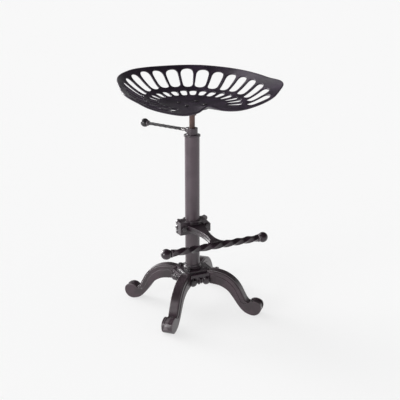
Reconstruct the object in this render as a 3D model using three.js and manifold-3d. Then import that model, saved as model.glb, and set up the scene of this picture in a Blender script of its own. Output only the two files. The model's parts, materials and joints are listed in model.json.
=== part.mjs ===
import * as THREE from "three";
import { mergeVertices } from "three/addons/utils/BufferGeometryUtils.js";
import Module from "manifold-3d";

// Stool with a slotted cast seat on a swivelling, height-adjustable spindle, a clamped footrest
// and a base of four scrolled legs. Millimetres, +Z up, front towards -Y. The pieces are made round
// the column's axis and moved together at the end.

const wasm = await Module();
wasm.setup();

// Gaps between pieces, and how far a cutter runs past what it cuts
const seatingGap = 0.3;
const runningGap = 0.1;
const cutOverrun = 3;

// Round pieces: sides of large, middle and small ones
const roundSides = { large: 32, middle: 24, small: 12 };

// Hub, a square casting with a socket for the column
const hubUnderside = 84;
const hubHeight = 38;
const hubHalfWidth = 40;
const hubCornerDistance = 48;
const hubPlateThickness = 6;
const hubPlateLip = 2;
const hubSocketFloor = 8;
const hubDrainRadius = 12;

// Hanging ornament on each face of the hub: two large lobes and a narrow one under a ledge
const ledgeWidth = 51;
const ledgeHeight = 5;
const ledgeDepth = 4;
const ledgeDrop = 17;
const largeLobe = { offset: 17, width: 11.5, depth: 8, height: 14 };
const narrowLobe = { offset: 0, width: 4.5, depth: 7, height: 12.5 };
const lobeSides = 8;

// Legs: the outline is in distance from the axis and height, as shares of the reach and root height
const legReach = 189;
const legRootHeight = 120;
const legWidth = 26;
const legRidgeWidth = 17;
const legRidgeHeight = 6.5;
const legTopShares = [
  [0.381, 1.02], [0.503, 0.99], [0.608, 0.925], [0.709, 0.81], [0.78, 0.672], [0.836, 0.51], [0.884, 0.372],
];
const legUnderShares = [
  [0.36, 0.688], [0.46, 0.668], [0.54, 0.62], [0.614, 0.54], [0.693, 0.388], [0.757, 0.243], [0.82, 0.127],
  [0.885, 0.048],
];
const scrollRadius = 25.5;
const footFlatHalf = 4.5;
const scrollNotchShares = [0.93, 0.305];
const scrollCurlShares = [[1.09, 0.365], [0.985, 0.415]];
const scrollEndAngle = 25;
const legTongue = { length: 18, thickness: 14, height: 24, drop: 8 };
const legCurveSteps = 2;
const scrollSteps = 5;
const legAngles = { leg_front_right: -45, leg_back_right: 45, leg_back_left: 135, leg_front_left: -135 };

// Bolts that hold the legs, through the corners of the hub
const legBoltDistance = 38;
const legBolt = { shankRadius: 4, headRadius: 6.5, headHeight: 5.5, length: 26 };

// Column and its foot ring
const columnRadius = 21.1;
const columnWall = 3.2;
const columnLength = 422.4;
const footRing = { radius: 26, height: 12, lip: 4, neckRadius: 23.2 };

// Cap with the clamping collar, plugged into the top of the column
const capFlangeRadius = 23.4;
const capFlangeHeight = 5;
const capSpigotLength = 30;
const collarRadius = 14.5;
const collarHeight = 19;
const leverBoss = { radius: 7.5, reach: 20 };

// Clamp lever, screwed through the collar against the spindle
const leverDirection = 116;
const leverHeightInCollar = 11;
const leverScrewRadius = 5;
const leverScrewTip = 13;
const leverScrewEnd = 36;
const leverRod = { radius: 4.4, groove: 0.5, twistLead: 57, end: 161 };
const leverBallRadius = 12.3;
const leverBead = { radius: 7, length: 5 };
const clampPad = { radius: 4.8, length: 4.2 };

// Spindle
const spindleRadius = 8;
const spindleLength = 292;
const spindleShoulder = { radius: 12, height: 4 };
const spindleGroove = { depth: 2, slack: 0.4 };
const spindleChamfer = 1;
const thrustWasher = { radius: 12.5, thickness: 1.6 };
const guideDiscHeight = 8;
const guideBolt = { shankRadius: 3, headRadius: 6, headHeight: 5, depth: 14 };

// Seat mount under the pan
const mountPlate = { radius: 48, thickness: 6 };
const mountSocket = { radius: 15, length: 14, boreDepth: 13 };
const retainingScrew = { radius: 3, height: 6.5, inset: 0.4 };
const seatScrew = { distance: 38, shankRadius: 3, headRadius: 6, headHeight: 2.6 };
const seatScrewCrownShares = [0.85, 0.6];
const seatScrewAngles = [45, 135, 225, 315];

// Seat pan: the rim's right half from the back to the front, as shares of half its width, its
// depth behind the axis and its depth in front of it, with heights above the bowl in its depth
const seatCentreHeight = 606;
const seatHalfWidth = 230;
const seatBackDepth = 205;
const seatFrontDepth = 142;
const bowlDepth = 82;
const bowlPowers = { back: 3.1, front: 2.4 };
const panThickness = 5;
const rimBead = 1.2;
const rimBackShares = [
  [0, 1, 0.975], [0.232, 0.95, 0.985], [0.444, 0.845, 0.985], [0.608, 0.69, 0.965], [0.752, 0.485, 0.935],
  [0.856, 0.23, 0.895], [0.915, 0, 0.845],
];
const rimFrontShares = [
  [0.957, 0.28, 0.785], [1, 0.61, 0.745], [0.985, 0.735, 0.675], [0.905, 0.835, 0.53], [0.795, 0.92, 0.35],
  [0.6, 0.965, 0.16], [0.355, 0.925, 0.01], [0.16, 0.81, 0.02], [0, 0.71, 0.165],
];
const rimSampleCount = 720;
const panRimSteps = 60;
const panRings = 6;
const panRingPower = 0.8;
const plateDome = 1;

// Slots in the pan, on the right from the back to the front: the middle of each one's outer end and of its
// inner end, across as shares of half the width, and along as shares of the depth behind or in front of
// the axis. The sides of slots leave a bar to the next one, wider at the outer ends.
const outerSlots = {
  ends: [
    [0.1, 0.944, 0.073, 0.688], [0.298, 0.884, 0.217, 0.634], [0.483, 0.754, 0.337, 0.549],
    [0.627, 0.577, 0.443, 0.407], [0.731, 0.384, 0.526, 0.249], [0.799, 0.187, 0.578, 0.098],
    [0.84, -0.008, 0.602, -0.106], [0.858, -0.276, 0.6, -0.352], [0.847, -0.532, 0.565, -0.57],
    [0.777, -0.775, 0.491, -0.782],
  ],
  outerBar: 10,
  innerBar: 7.5,
};
const innerSlots = {
  ends: [
    [0, 0.614, 0, 0.483], [0.127, 0.598, 0.1, 0.461], [0.243, 0.54, 0.191, 0.422], [0.352, 0.438, 0.265, 0.356],
    [0.434, 0.31, 0.326, 0.263], [0.5, 0.162, 0.38, 0.151], [0.529, -0.004, 0.396, 0.034],
    [0.537, -0.231, 0.4, -0.113], [0.525, -0.425, 0.378, -0.268], [0.467, -0.628, 0.33, -0.423],
  ],
  outerBar: 9,
  innerBar: 8.5,
};
const slotCornerShares = { across: 0.5, along: 0.4 };
const slotCornerSteps = 3;

// Footrest clamp, in two halves bolted round the column
const clampHeight = 252;
const clampTall = 38;
const clampWall = 7;
const clampSplit = 1;
const clampEar = { reach: 48, front: 22, back: 9, boltDistance: 37 };
const rightEarChamfer = 14;
const clampBolt = { shankRadius: 4, headRadius: 7.5, headHeight: 5.5 };
const clampNut = { radius: 7.2, height: 6.5 };

// Footrest arm and bar
const barDistance = 149;
const barDrop = 12;
const barRadius = 9.8;
const barGroove = 2;
const barStrands = 3;
const barTwistLead = 105;
const barHalfLength = 132;
const armTall = 17;
const armDrop = 9;
const armRootHalf = 27;
const armNeckHalf = 8;
const armFlareHalf = 26;
const armNeckShare = 0.72;
const armGroove = { depth: 2, height: 6 };
const armCurveSteps = 10;
const barBallRadius = 14.8;
const barNeck = { radius: 11.5, length: 4 };
const ballSeatShare = 0.8;
const ballSides = 16;

// Sides and steps of the twisted rods
const twistSides = 12;
const barTwistSteps = 36;
const leverTwistSides = 9;
const leverTwistSteps = 18;

const degrees = THREE.MathUtils.degToRad;

// Heights that follow from the sizes above
const hubTop = hubUnderside + hubHeight;
const columnFoot = hubUnderside + hubSocketFloor + seatingGap;
const columnTop = columnFoot + columnLength;
const columnBore = columnRadius - columnWall;
const capSeat = columnTop + seatingGap;
const collarBase = capSeat + capFlangeHeight;
const collarTop = collarBase + collarHeight;
const leverHeight = collarBase + leverHeightInCollar;
const panUnderside = seatCentreHeight - panThickness;
const mountTop = panUnderside - seatingGap;
const mountPlateUnderside = mountTop - mountPlate.thickness;
const mountUnderside = mountPlateUnderside - mountSocket.length;
const mountBoreTop = mountUnderside + mountSocket.boreDepth;
const spindleTop = mountBoreTop - seatingGap;
const spindleFoot = spindleTop - spindleLength;
const washerTop = mountUnderside - seatingGap;
const shoulderTop = washerTop - thrustWasher.thickness - seatingGap;
const retainingHeight = mountUnderside + retainingScrew.height;
const barHeight = clampHeight - barDrop;

const stool = new THREE.Group();

// Turns a closed geometry into a solid that can be joined and cut
function solid(geometry) {
  const bare = geometry.clone();
  bare.deleteAttribute("normal");
  bare.deleteAttribute("uv");
  const merged = mergeVertices(bare);
  const mesh = new wasm.Mesh({
    numProp: 3,
    vertProperties: new Float32Array(merged.attributes.position.array),
    triVerts: new Uint32Array(merged.index.array),
  });
  return new wasm.Manifold(mesh);
}

function geometryOf(body) {
  const mesh = body.getMesh();
  const geometry = new THREE.BufferGeometry();
  geometry.setAttribute("position", new THREE.BufferAttribute(mesh.vertProperties, 3));
  geometry.setIndex(new THREE.BufferAttribute(mesh.triVerts, 1));
  geometry.computeVertexNormals();
  return geometry;
}

function addPiece(name, shape, finish) {
  const geometry = shape.isBufferGeometry ? shape : geometryOf(shape);
  const mesh = new THREE.Mesh(geometry, new THREE.MeshStandardMaterial(finish));
  mesh.name = name;
  stool.add(mesh);
  return mesh;
}

const castIron = { color: 0x4f484c, roughness: 0.5, metalness: 0.35 };
const seatIron = { color: 0x302935, roughness: 0.45, metalness: 0.35 };
const darkSteel = { color: 0x48474a, roughness: 0.4, metalness: 0.6 };
const bareSteel = { color: 0x594a49, roughness: 0.45, metalness: 0.7 };
const brightSteel = { color: 0xb8b4b8, roughness: 0.3, metalness: 0.9 };
const brass = { color: 0xb08d4f, roughness: 0.4, metalness: 0.9 };

// Revolves a profile of [radius, height] pairs, wound anticlockwise, round +Z
function turned(profile, sides) {
  const points = profile.map(([radius, height]) => new THREE.Vector2(radius, height));
  return new THREE.LatheGeometry(points, sides).rotateX(degrees(90));
}

function ring(inner, outer, bottom, top, sides) {
  return turned([[inner, bottom], [outer, bottom], [outer, top], [inner, top], [inner, bottom]], sides);
}

function rod(radius, bottom, top, sides) {
  return turned([[0, bottom], [radius, bottom], [radius, top], [0, top]], sides);
}

function box(width, depth, height, x, y, z) {
  return new THREE.BoxGeometry(width, depth, height).translate(x, y, z);
}

// Turns a piece made along +Z to lie along +X
const alongX = (geometry) => geometry.rotateY(degrees(90));

// Turns a piece made along +Z to lie along -Y
const alongFront = (geometry) => geometry.rotateX(degrees(90));

// Extrudes an outline of [x, y] pairs or a shape upwards from a height
function extruded(shape, bottom, height, steps = 1) {
  const settings = { depth: height, bevelEnabled: false, steps, curveSegments: 1 };
  return new THREE.ExtrudeGeometry(shape, settings).translate(0, 0, bottom);
}

function shapeOf(points) {
  return new THREE.Shape(points.map(([x, y]) => new THREE.Vector2(x, y)));
}

// Points along a smooth curve through the given [x, y] pairs
function smooth(points, stepsPerSpan) {
  const curve = new THREE.SplineCurve(points.map(([x, y]) => new THREE.Vector2(x, y)));
  return curve.getPoints((points.length - 1) * stepsPerSpan).map((point) => [point.x, point.y]);
}

function hexagon(radius) {
  const corners = Array.from({ length: 6 }, (_, i) => degrees(60 * i));
  return shapeOf(corners.map((angle) => [radius * Math.cos(angle), radius * Math.sin(angle)]));
}

// A hexagon-headed bolt along +Z with the underside of its head at height 0
function hexBolt(bolt, length) {
  const head = solid(extruded(hexagon(bolt.headRadius), 0, bolt.headHeight));
  const shank = solid(rod(bolt.shankRadius, -length, bolt.headHeight / 2, roundSides.small));
  return geometryOf(head.add(shank));
}

// Sweeps a round section with shallow strands along +Z, turning as it goes
function twistedRod(radius, groove, strands, lead, length, sides, steps) {
  const section = Array.from({ length: sides }, (_, i) => {
    const angle = (2 * Math.PI * i) / sides;
    const reach = radius - (groove * (1 - Math.cos(strands * angle))) / 2;
    return [reach * Math.cos(angle), reach * Math.sin(angle)];
  });
  const geometry = extruded(shapeOf(section), 0, length, steps);
  const position = geometry.attributes.position;
  for (let i = 0; i < position.count; i += 1) {
    const point = new THREE.Vector3().fromBufferAttribute(position, i);
    point.applyAxisAngle(new THREE.Vector3(0, 0, 1), (2 * Math.PI * point.z) / lead);
    position.setXYZ(i, point.x, point.y, point.z);
  }
  return geometry;
}

// A ball with a neck ring, turned about +Z, with the ring's face at height 0
function ballEnd(ballRadius, neckRadius, neckLength, sides) {
  const start = Math.asin(ballSeatShare);
  const ballHeight = neckLength + ballSeatShare * ballRadius;
  const arc = Array.from({ length: sides / 2 }, (_, i) => {
    const angle = -start + ((start + Math.PI / 2) * i) / (sides / 2 - 1);
    return [ballRadius * Math.cos(angle), ballHeight + ballRadius * Math.sin(angle)];
  });
  arc[arc.length - 1][0] = 0;
  return turned([[0, 0], [neckRadius, 0], [neckRadius, neckLength], ...arc], sides);
}

// Hub
function squareOutline(half, cornerDistance) {
  const cut = cornerDistance * Math.SQRT2 - half;
  const corners = [[half, cut], [cut, half], [-cut, half], [-half, cut]];
  return shapeOf([...corners, ...corners.map(([x, y]) => [-x, -y])]);
}

function hubOrnament() {
  const ledgeTop = hubTop - ledgeDrop;
  const face = hubHalfWidth - hubPlateLip;
  let ornament = solid(
    box(ledgeWidth, ledgeDepth * 2, ledgeHeight, 0, -face, ledgeTop - ledgeHeight / 2),
  );
  const lobes = [
    { ...largeLobe, x: -largeLobe.offset },
    { ...narrowLobe, x: narrowLobe.offset },
    { ...largeLobe, x: largeLobe.offset },
  ];
  for (const lobe of lobes) {
    const ball = new THREE.SphereGeometry(1, lobeSides, lobeSides - 2).rotateX(degrees(90));
    ball.scale(lobe.width, lobe.depth, lobe.height);
    ball.translate(lobe.x, -face, ledgeTop - ledgeHeight - lobe.height + ledgeDepth);
    ornament = ornament.add(solid(ball));
  }
  return ornament;
}

function hub() {
  const plateBottom = hubTop - hubPlateThickness;
  const bodyHeight = hubHeight - hubPlateThickness;
  const bodyShape = squareOutline(hubHalfWidth - hubPlateLip, hubCornerDistance);
  const plateShape = squareOutline(hubHalfWidth, hubCornerDistance);
  let body = solid(extruded(bodyShape, hubUnderside, bodyHeight + hubPlateThickness / 2));
  body = body.add(solid(extruded(plateShape, plateBottom, hubPlateThickness)));
  const ornament = hubOrnament();
  for (let side = 0; side < 4; side += 1) {
    body = body.add(ornament.rotate([0, 0, 90 * side]));
  }
  body = body.subtract(
    solid(rod(columnRadius + seatingGap, columnFoot - seatingGap, hubTop + cutOverrun, roundSides.large)),
  );
  body = body.subtract(
    solid(rod(hubDrainRadius, hubUnderside - cutOverrun - largeLobe.height, columnFoot, roundSides.middle)),
  );
  const pocketTop = legRootHeight - legTongue.drop + seatingGap;
  const pocketHeight = legTongue.height + 2 * seatingGap;
  const pocketInner = hubCornerDistance - legTongue.length - seatingGap;
  const pocketOuter = hubCornerDistance + cutOverrun;
  const pocket = solid(
    box(
      pocketOuter - pocketInner, legTongue.thickness + 2 * seatingGap, pocketHeight,
      (pocketInner + pocketOuter) / 2, 0, pocketTop - pocketHeight / 2,
    ),
  );
  const boltHole = solid(
    rod(legBolt.shankRadius + seatingGap, pocketTop - cutOverrun, hubTop + cutOverrun, roundSides.small)
      .translate(legBoltDistance, 0, 0),
  );
  const legSpace = solid(
    box(
      hubHalfWidth, legWidth + 2 * seatingGap, 2 * hubHeight,
      hubCornerDistance + hubHalfWidth / 2, 0, hubUnderside + hubHeight / 2,
    ),
  );
  for (const angle of Object.values(legAngles)) {
    for (const cutter of [legSpace, pocket, boltHole]) {
      body = body.subtract(cutter.rotate([0, 0, angle]));
    }
  }
  return body;
}

addPiece("hub", hub(), castIron);

// Legs
function legOutline(ridgeDrop) {
  const scaled = (shares) => shares.map(([along, up]) => [along * legReach, up * legRootHeight]);
  const rootDistance = hubCornerDistance + seatingGap;
  const notch = scaled([scrollNotchShares])[0];
  const top = smooth([[rootDistance, legRootHeight], ...scaled(legTopShares), notch], legCurveSteps);
  const lowered = top.map(([x, y], i) => {
    const [beforeX, beforeY] = top[Math.max(i - 1, 0)];
    const [afterX, afterY] = top[Math.min(i + 1, top.length - 1)];
    const along = new THREE.Vector2(afterX - beforeX, afterY - beforeY).normalize();
    const drop = ridgeDrop * Math.min(1, (top.length - 1 - i) / legCurveSteps);
    return [Math.max(x + along.y * drop, rootDistance), y - along.x * drop];
  });
  const underRoot = [rootDistance, hubUnderside];
  const centreHeight = Math.sqrt(scrollRadius ** 2 - footFlatHalf ** 2);
  const flatAngle = Math.asin(centreHeight / scrollRadius);
  const under = smooth(
    [underRoot, ...scaled(legUnderShares), [legReach - footFlatHalf * 2, footFlatHalf / 4]], legCurveSteps,
  );
  const [curlOuter, curlInner] = scaled(scrollCurlShares);
  const outline = [...under, [legReach - footFlatHalf, 0]];
  const arc = new THREE.Path();
  arc.absarc(legReach, centreHeight, scrollRadius, -flatAngle, degrees(scrollEndAngle), false);
  arc.bezierCurveTo(...curlOuter, ...curlInner, ...notch);
  outline.push(...arc.getPoints(scrollSteps).map((point) => [point.x, point.y]));
  outline.push(...lowered.slice(0, -1).reverse());
  return shapeOf(outline);
}

function leg() {
  const upright = (shape, width) =>
    extruded(shape, -width / 2, width).rotateX(degrees(90));
  let body = solid(upright(legOutline(legRidgeHeight), legWidth));
  body = body.add(solid(upright(legOutline(0), legRidgeWidth)));
  const tongueInner = hubCornerDistance - legTongue.length;
  const tongueOuter = hubCornerDistance + legTongue.thickness / 2;
  const tongueTop = legRootHeight - legTongue.drop;
  body = body.add(
    solid(
      box(
        tongueOuter - tongueInner, legTongue.thickness, legTongue.height,
        (tongueInner + tongueOuter) / 2, 0, tongueTop - legTongue.height / 2,
      ),
    ),
  );
  return body.subtract(
    solid(
      rod(legBolt.shankRadius + seatingGap, hubTop - legBolt.length - seatingGap, hubTop, roundSides.small)
        .translate(legBoltDistance, 0, 0),
    ),
  );
}

const legBody = leg();
for (const [name, angle] of Object.entries(legAngles)) {
  addPiece(name, geometryOf(legBody), castIron).rotation.z = degrees(angle);
}

Object.values(legAngles).forEach((angle, i) => {
  const bolt = hexBolt(legBolt, legBolt.length).translate(legBoltDistance, 0, hubTop + seatingGap);
  addPiece(`leg_bolt_${i + 1}`, bolt, darkSteel).rotation.z = degrees(angle);
});

// Column, its foot ring and the cap with the clamping collar
addPiece("column", ring(columnBore, columnRadius, columnFoot, columnTop, roundSides.large), castIron);

const ringBottom = hubTop + seatingGap;
const ringTop = ringBottom + footRing.height;
const ringInner = columnRadius + seatingGap;
const footRingProfile = [
  [ringInner, ringBottom], [footRing.radius, ringBottom], [footRing.radius, ringBottom + footRing.lip],
  [footRing.neckRadius, ringBottom + footRing.height / 2], [footRing.neckRadius, ringTop],
  [ringInner, ringTop], [ringInner, ringBottom],
];
addPiece("column_foot_ring", turned(footRingProfile, roundSides.large), castIron);

function columnCap() {
  const bore = spindleRadius + runningGap;
  const spigotBottom = capSeat - capSpigotLength;
  const spigotRadius = columnBore - seatingGap;
  const profile = [
    [bore, spigotBottom], [spigotRadius, spigotBottom], [spigotRadius, capSeat], [capFlangeRadius, capSeat],
    [capFlangeRadius, collarBase], [collarRadius, collarBase], [collarRadius, collarTop], [bore, collarTop],
    [bore, spigotBottom],
  ];
  const boss = alongX(rod(leverBoss.radius, collarRadius / 2 + bore / 2, leverBoss.reach, roundSides.middle));
  const hole = alongX(rod(leverScrewRadius + seatingGap, 0, leverBoss.reach + cutOverrun, roundSides.small));
  const bossSolid = solid(boss.translate(0, 0, leverHeight)).rotate([0, 0, leverDirection]);
  const holeSolid = solid(hole.translate(0, 0, leverHeight)).rotate([0, 0, leverDirection]);
  return solid(turned(profile, roundSides.large)).add(bossSolid).subtract(holeSolid);
}

addPiece("column_cap", columnCap(), darkSteel);

// Clamp lever: pad, screw, twisted rod and ball, along +X before it is turned to its direction
function addLeverPiece(name, geometry, finish) {
  const piece = addPiece(name, alongX(geometry), finish);
  piece.position.z = leverHeight;
  piece.rotation.z = degrees(leverDirection);
}

const padEnd = leverScrewTip - seatingGap;
const leverRodStart = leverScrewEnd + seatingGap;
const leverBallFace = leverRod.end + seatingGap;
addLeverPiece("clamp_pad", rod(clampPad.radius, padEnd - clampPad.length, padEnd, roundSides.small), brass);
addLeverPiece("lever_screw", rod(leverScrewRadius, leverScrewTip, leverScrewEnd, roundSides.small), brightSteel);
const leverTwist = twistedRod(
  leverRod.radius, leverRod.groove, barStrands, leverRod.twistLead, leverRod.end - leverRodStart,
  leverTwistSides, leverTwistSteps,
);
addLeverPiece("lever_rod", leverTwist.translate(0, 0, leverRodStart), darkSteel);
const leverBall = ballEnd(leverBallRadius, leverBead.radius, leverBead.length, ballSides);
addLeverPiece("lever_ball", leverBall.translate(0, 0, leverBallFace), darkSteel);

// Spindle with its shoulder, retaining groove and guide disc
function spindle() {
  const shoulderBottom = shoulderTop - spindleShoulder.height;
  const grooveHalf = retainingScrew.radius + spindleGroove.slack;
  const grooveRadius = spindleRadius - spindleGroove.depth;
  const tapRadius = guideBolt.shankRadius + seatingGap;
  const tapTop = spindleFoot + guideBolt.depth;
  return turned(
    [
      [0, tapTop], [tapRadius, tapTop], [tapRadius, spindleFoot], [spindleRadius, spindleFoot],
      [spindleRadius, shoulderBottom], [spindleShoulder.radius, shoulderBottom],
      [spindleShoulder.radius, shoulderTop], [spindleRadius, shoulderTop],
      [spindleRadius, retainingHeight - grooveHalf], [grooveRadius, retainingHeight - grooveHalf],
      [grooveRadius, retainingHeight + grooveHalf], [spindleRadius, retainingHeight + grooveHalf],
      [spindleRadius, spindleTop - spindleChamfer], [spindleRadius - spindleChamfer, spindleTop],
      [0, spindleTop],
    ],
    roundSides.middle,
  );
}

addPiece("spindle", spindle(), bareSteel);
const washerHole = spindleRadius + runningGap;
addPiece(
  "thrust_washer",
  ring(washerHole, thrustWasher.radius, washerTop - thrustWasher.thickness, washerTop, roundSides.middle),
  brass,
);
const discTop = spindleFoot - seatingGap;
const discBottom = discTop - guideDiscHeight;
addPiece(
  "spindle_guide",
  ring(guideBolt.shankRadius + seatingGap, columnBore - seatingGap, discBottom, discTop, roundSides.middle),
  brass,
);
const guideBoltLength = guideDiscHeight + guideBolt.depth - seatingGap;
const guideBoltPiece = hexBolt(guideBolt, guideBoltLength).rotateX(degrees(180));
addPiece("spindle_guide_bolt", guideBoltPiece.translate(0, 0, discBottom - seatingGap), darkSteel);

// Seat pan: a flat plate with slots, bent into a bowl whose rim is the curve through the shares
function rimCurve() {
  const back = rimBackShares.map(([across, along, up]) => [
    across * seatHalfWidth, along * seatBackDepth, up * bowlDepth,
  ]);
  const front = rimFrontShares.map(([across, along, up]) => [
    across * seatHalfWidth, -along * seatFrontDepth, up * bowlDepth,
  ]);
  const right = [...back, ...front];
  const left = right.slice(1, -1).reverse().map(([x, y, z]) => [-x, y, z]);
  const points = [...right, ...left].map(([x, y, z]) => new THREE.Vector3(x, y, z));
  return new THREE.CatmullRomCurve3(points, true, "centripetal");
}

// The rim in directions measured clockwise from the back
const turn = 2 * Math.PI;
const rimSamples = rimCurve().getSpacedPoints(rimSampleCount).map((point, i) => {
  const angle = Math.atan2(point.x, point.y);
  const wraps = angle < 0 || (i === rimSampleCount && angle < Math.PI);
  return { angle: wraps ? angle + turn : angle, distance: Math.hypot(point.x, point.y), height: point.z };
});

function rimAt(direction) {
  const angle = ((direction % turn) + turn) % turn;
  const after = Math.max(1, rimSamples.findIndex((sample) => sample.angle >= angle));
  const [low, high] = [rimSamples[after - 1], rimSamples[after]];
  const share = (angle - low.angle) / (high.angle - low.angle);
  return {
    distance: low.distance + (high.distance - low.distance) * share,
    height: low.height + (high.height - low.height) * share,
  };
}

function bowlHeight(x, y) {
  const angle = Math.atan2(x, y);
  const edge = rimAt(angle);
  const towardsBack = (1 + Math.cos(angle)) / 2;
  const power = bowlPowers.front + (bowlPowers.back - bowlPowers.front) * towardsBack;
  return seatCentreHeight + edge.height * (Math.hypot(x, y) / edge.distance) ** power;
}

// Moves a point of the flat plate, whose top is at height 0, into the bowl
function bent(x, y, depth) {
  const probe = panThickness / 10;
  const slopeX = (bowlHeight(x + probe, y) - bowlHeight(x - probe, y)) / (2 * probe);
  const slopeY = (bowlHeight(x, y + probe) - bowlHeight(x, y - probe)) / (2 * probe);
  const normal = new THREE.Vector3(-slopeX, -slopeY, 1).normalize();
  return new THREE.Vector3(x, y, bowlHeight(x, y)).addScaledVector(normal, depth);
}

// The plate before it is bent: a slight dome, so that joins and cuts keep all its corners
function plateTop(x, y) {
  return (-plateDome * (x ** 2 + y ** 2)) / seatBackDepth ** 2;
}

function panPlate() {
  const rim = rimCurve().getSpacedPoints(panRimSteps).slice(0, panRimSteps);
  const shares = Array.from({ length: panRings }, (_, i) => ((i + 1) / panRings) ** panRingPower);
  const vertices = [];
  const triangles = [];
  const addVertex = (x, y, depth) => vertices.push(x, y, plateTop(x, y) + depth) / 3 - 1;
  const row = (share, depth) => rim.map((point) => addVertex(point.x * share, point.y * share, depth));
  const beadShare = 1 + rimBead / seatBackDepth;
  const centreTop = addVertex(0, 0, 0);
  const topRows = shares.map((share) => row(share, 0));
  const edgeRow = row(beadShare, -panThickness / 2);
  const underRows = shares.map((share) => row(share, -panThickness)).reverse();
  const centreUnder = addVertex(0, 0, -panThickness);
  const rows = [...topRows, edgeRow, ...underRows];
  for (let step = 0; step < panRimSteps; step += 1) {
    const next = (step + 1) % panRimSteps;
    triangles.push(centreTop, rows[0][next], rows[0][step]);
    for (let i = 0; i < rows.length - 1; i += 1) {
      const [inner, outer] = [rows[i], rows[i + 1]];
      triangles.push(inner[step], inner[next], outer[next], inner[step], outer[next], outer[step]);
    }
    const last = rows[rows.length - 1];
    triangles.push(centreUnder, last[step], last[next]);
  }
  const geometry = new THREE.BufferGeometry();
  geometry.setAttribute("position", new THREE.Float32BufferAttribute(vertices, 3));
  geometry.setIndex(triangles);
  return geometry;
}

// The slots of one ring, on both sides: where each one's ends lie, and how far it is to its neighbours
function slotRing(slots) {
  const placed = slots.ends.map(([outerAcross, outerAlong, innerAcross, innerAlong]) => {
    const end = (across, along) => new THREE.Vector2(
      across * seatHalfWidth, along * (along > 0 ? seatBackDepth : seatFrontDepth),
    );
    return { outer: end(outerAcross, outerAlong), inner: end(innerAcross, innerAlong) };
  });
  const halfWidth = (end, i, bar) => {
    const neighbour = placed[i + 1] ?? placed[i - 1];
    return (placed[i][end].distanceTo(neighbour[end]) - bar) / 2;
  };
  const ring = [];
  placed.forEach(({ outer, inner }, i) => {
    const outerHalf = halfWidth("outer", i, slots.outerBar);
    const innerHalf = halfWidth("inner", i, slots.innerBar);
    ring.push({ outer, inner, outerHalf, innerHalf });
    if (outer.x > 0) {
      const mirrored = (end) => new THREE.Vector2(-end.x, end.y);
      ring.push({ outer: mirrored(outer), inner: mirrored(inner), outerHalf, innerHalf });
    }
  });
  return ring;
}

// A slot with straight sides and round ends
function slotShape({ outer, inner, outerHalf, innerHalf }) {
  const along = outer.clone().sub(inner).normalize();
  const across = new THREE.Vector2(along.y, -along.x);
  const corner = (end, half) => end.clone().addScaledVector(across, half);
  const corners = [
    corner(inner, -innerHalf), corner(inner, innerHalf), corner(outer, outerHalf), corner(outer, -outerHalf),
  ];
  const reaches = [innerHalf, innerHalf, outerHalf, outerHalf].map((half) => ({
    across: 2 * half * slotCornerShares.across,
    along: 2 * half * slotCornerShares.along,
  }));
  const path = new THREE.Path();
  corners.forEach((point, i) => {
    const before = corners[(i + 3) % 4];
    const after = corners[(i + 1) % 4];
    const reach = reaches[i];
    const [back, ahead] = i % 2 === 0 ? [reach.along, reach.across] : [reach.across, reach.along];
    const entry = point.clone().addScaledVector(before.clone().sub(point).normalize(), back);
    const exit = point.clone().addScaledVector(after.clone().sub(point).normalize(), ahead);
    if (i === 0) path.moveTo(entry.x, entry.y);
    else if (entry.distanceTo(path.currentPoint) > runningGap) path.lineTo(entry.x, entry.y);
    path.quadraticCurveTo(point.x, point.y, exit.x, exit.y);
  });
  return new THREE.Shape(path.getPoints(slotCornerSteps));
}

function seatPan() {
  const cutBottom = -panThickness - cutOverrun;
  const cutTop = cutOverrun;
  let plate = solid(panPlate());
  for (const slot of [...slotRing(outerSlots), ...slotRing(innerSlots)]) {
    plate = plate.subtract(solid(extruded(slotShape(slot), cutBottom, cutTop - cutBottom)));
  }
  for (const angle of seatScrewAngles) {
    const hole = rod(seatScrew.shankRadius + seatingGap, cutBottom, cutTop, roundSides.small);
    plate = plate.subtract(solid(hole.translate(seatScrew.distance, 0, 0)).rotate([0, 0, angle]));
  }
  const geometry = geometryOf(plate);
  const position = geometry.attributes.position;
  for (let i = 0; i < position.count; i += 1) {
    const [x, y] = [position.getX(i), position.getY(i)];
    const point = bent(x, y, position.getZ(i) - plateTop(x, y));
    position.setXYZ(i, point.x, point.y, point.z);
  }
  geometry.computeVertexNormals();
  return geometry;
}

addPiece("seat_pan", seatPan(), seatIron);

// Seat mount with its retaining screw, and the screws that hold the pan to it
function seatMount() {
  const bore = spindleRadius + runningGap;
  const profile = [
    [0, mountBoreTop], [bore, mountBoreTop], [bore, mountUnderside], [mountSocket.radius, mountUnderside],
    [mountSocket.radius, mountPlateUnderside], [mountPlate.radius, mountPlateUnderside],
    [mountPlate.radius, mountTop], [0, mountTop],
  ];
  let mount = solid(turned(profile, roundSides.middle));
  const screwHole = alongX(rod(retainingScrew.radius + seatingGap, 0, mountSocket.radius + cutOverrun,
    roundSides.small));
  mount = mount.subtract(solid(screwHole.translate(0, 0, retainingHeight)));
  for (const angle of seatScrewAngles) {
    const hole = rod(
      seatScrew.shankRadius + seatingGap, mountPlateUnderside - cutOverrun, mountTop + cutOverrun, roundSides.small,
    );
    mount = mount.subtract(solid(hole.translate(seatScrew.distance, 0, 0)).rotate([0, 0, angle]));
  }
  return mount;
}

addPiece("seat_mount", seatMount(), castIron);
const retainingTip = spindleRadius - spindleGroove.depth + retainingScrew.inset;
const retainingPiece = alongX(rod(retainingScrew.radius, retainingTip, mountSocket.radius, roundSides.small));
addPiece("seat_retaining_screw", retainingPiece.translate(0, 0, retainingHeight), darkSteel);

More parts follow.
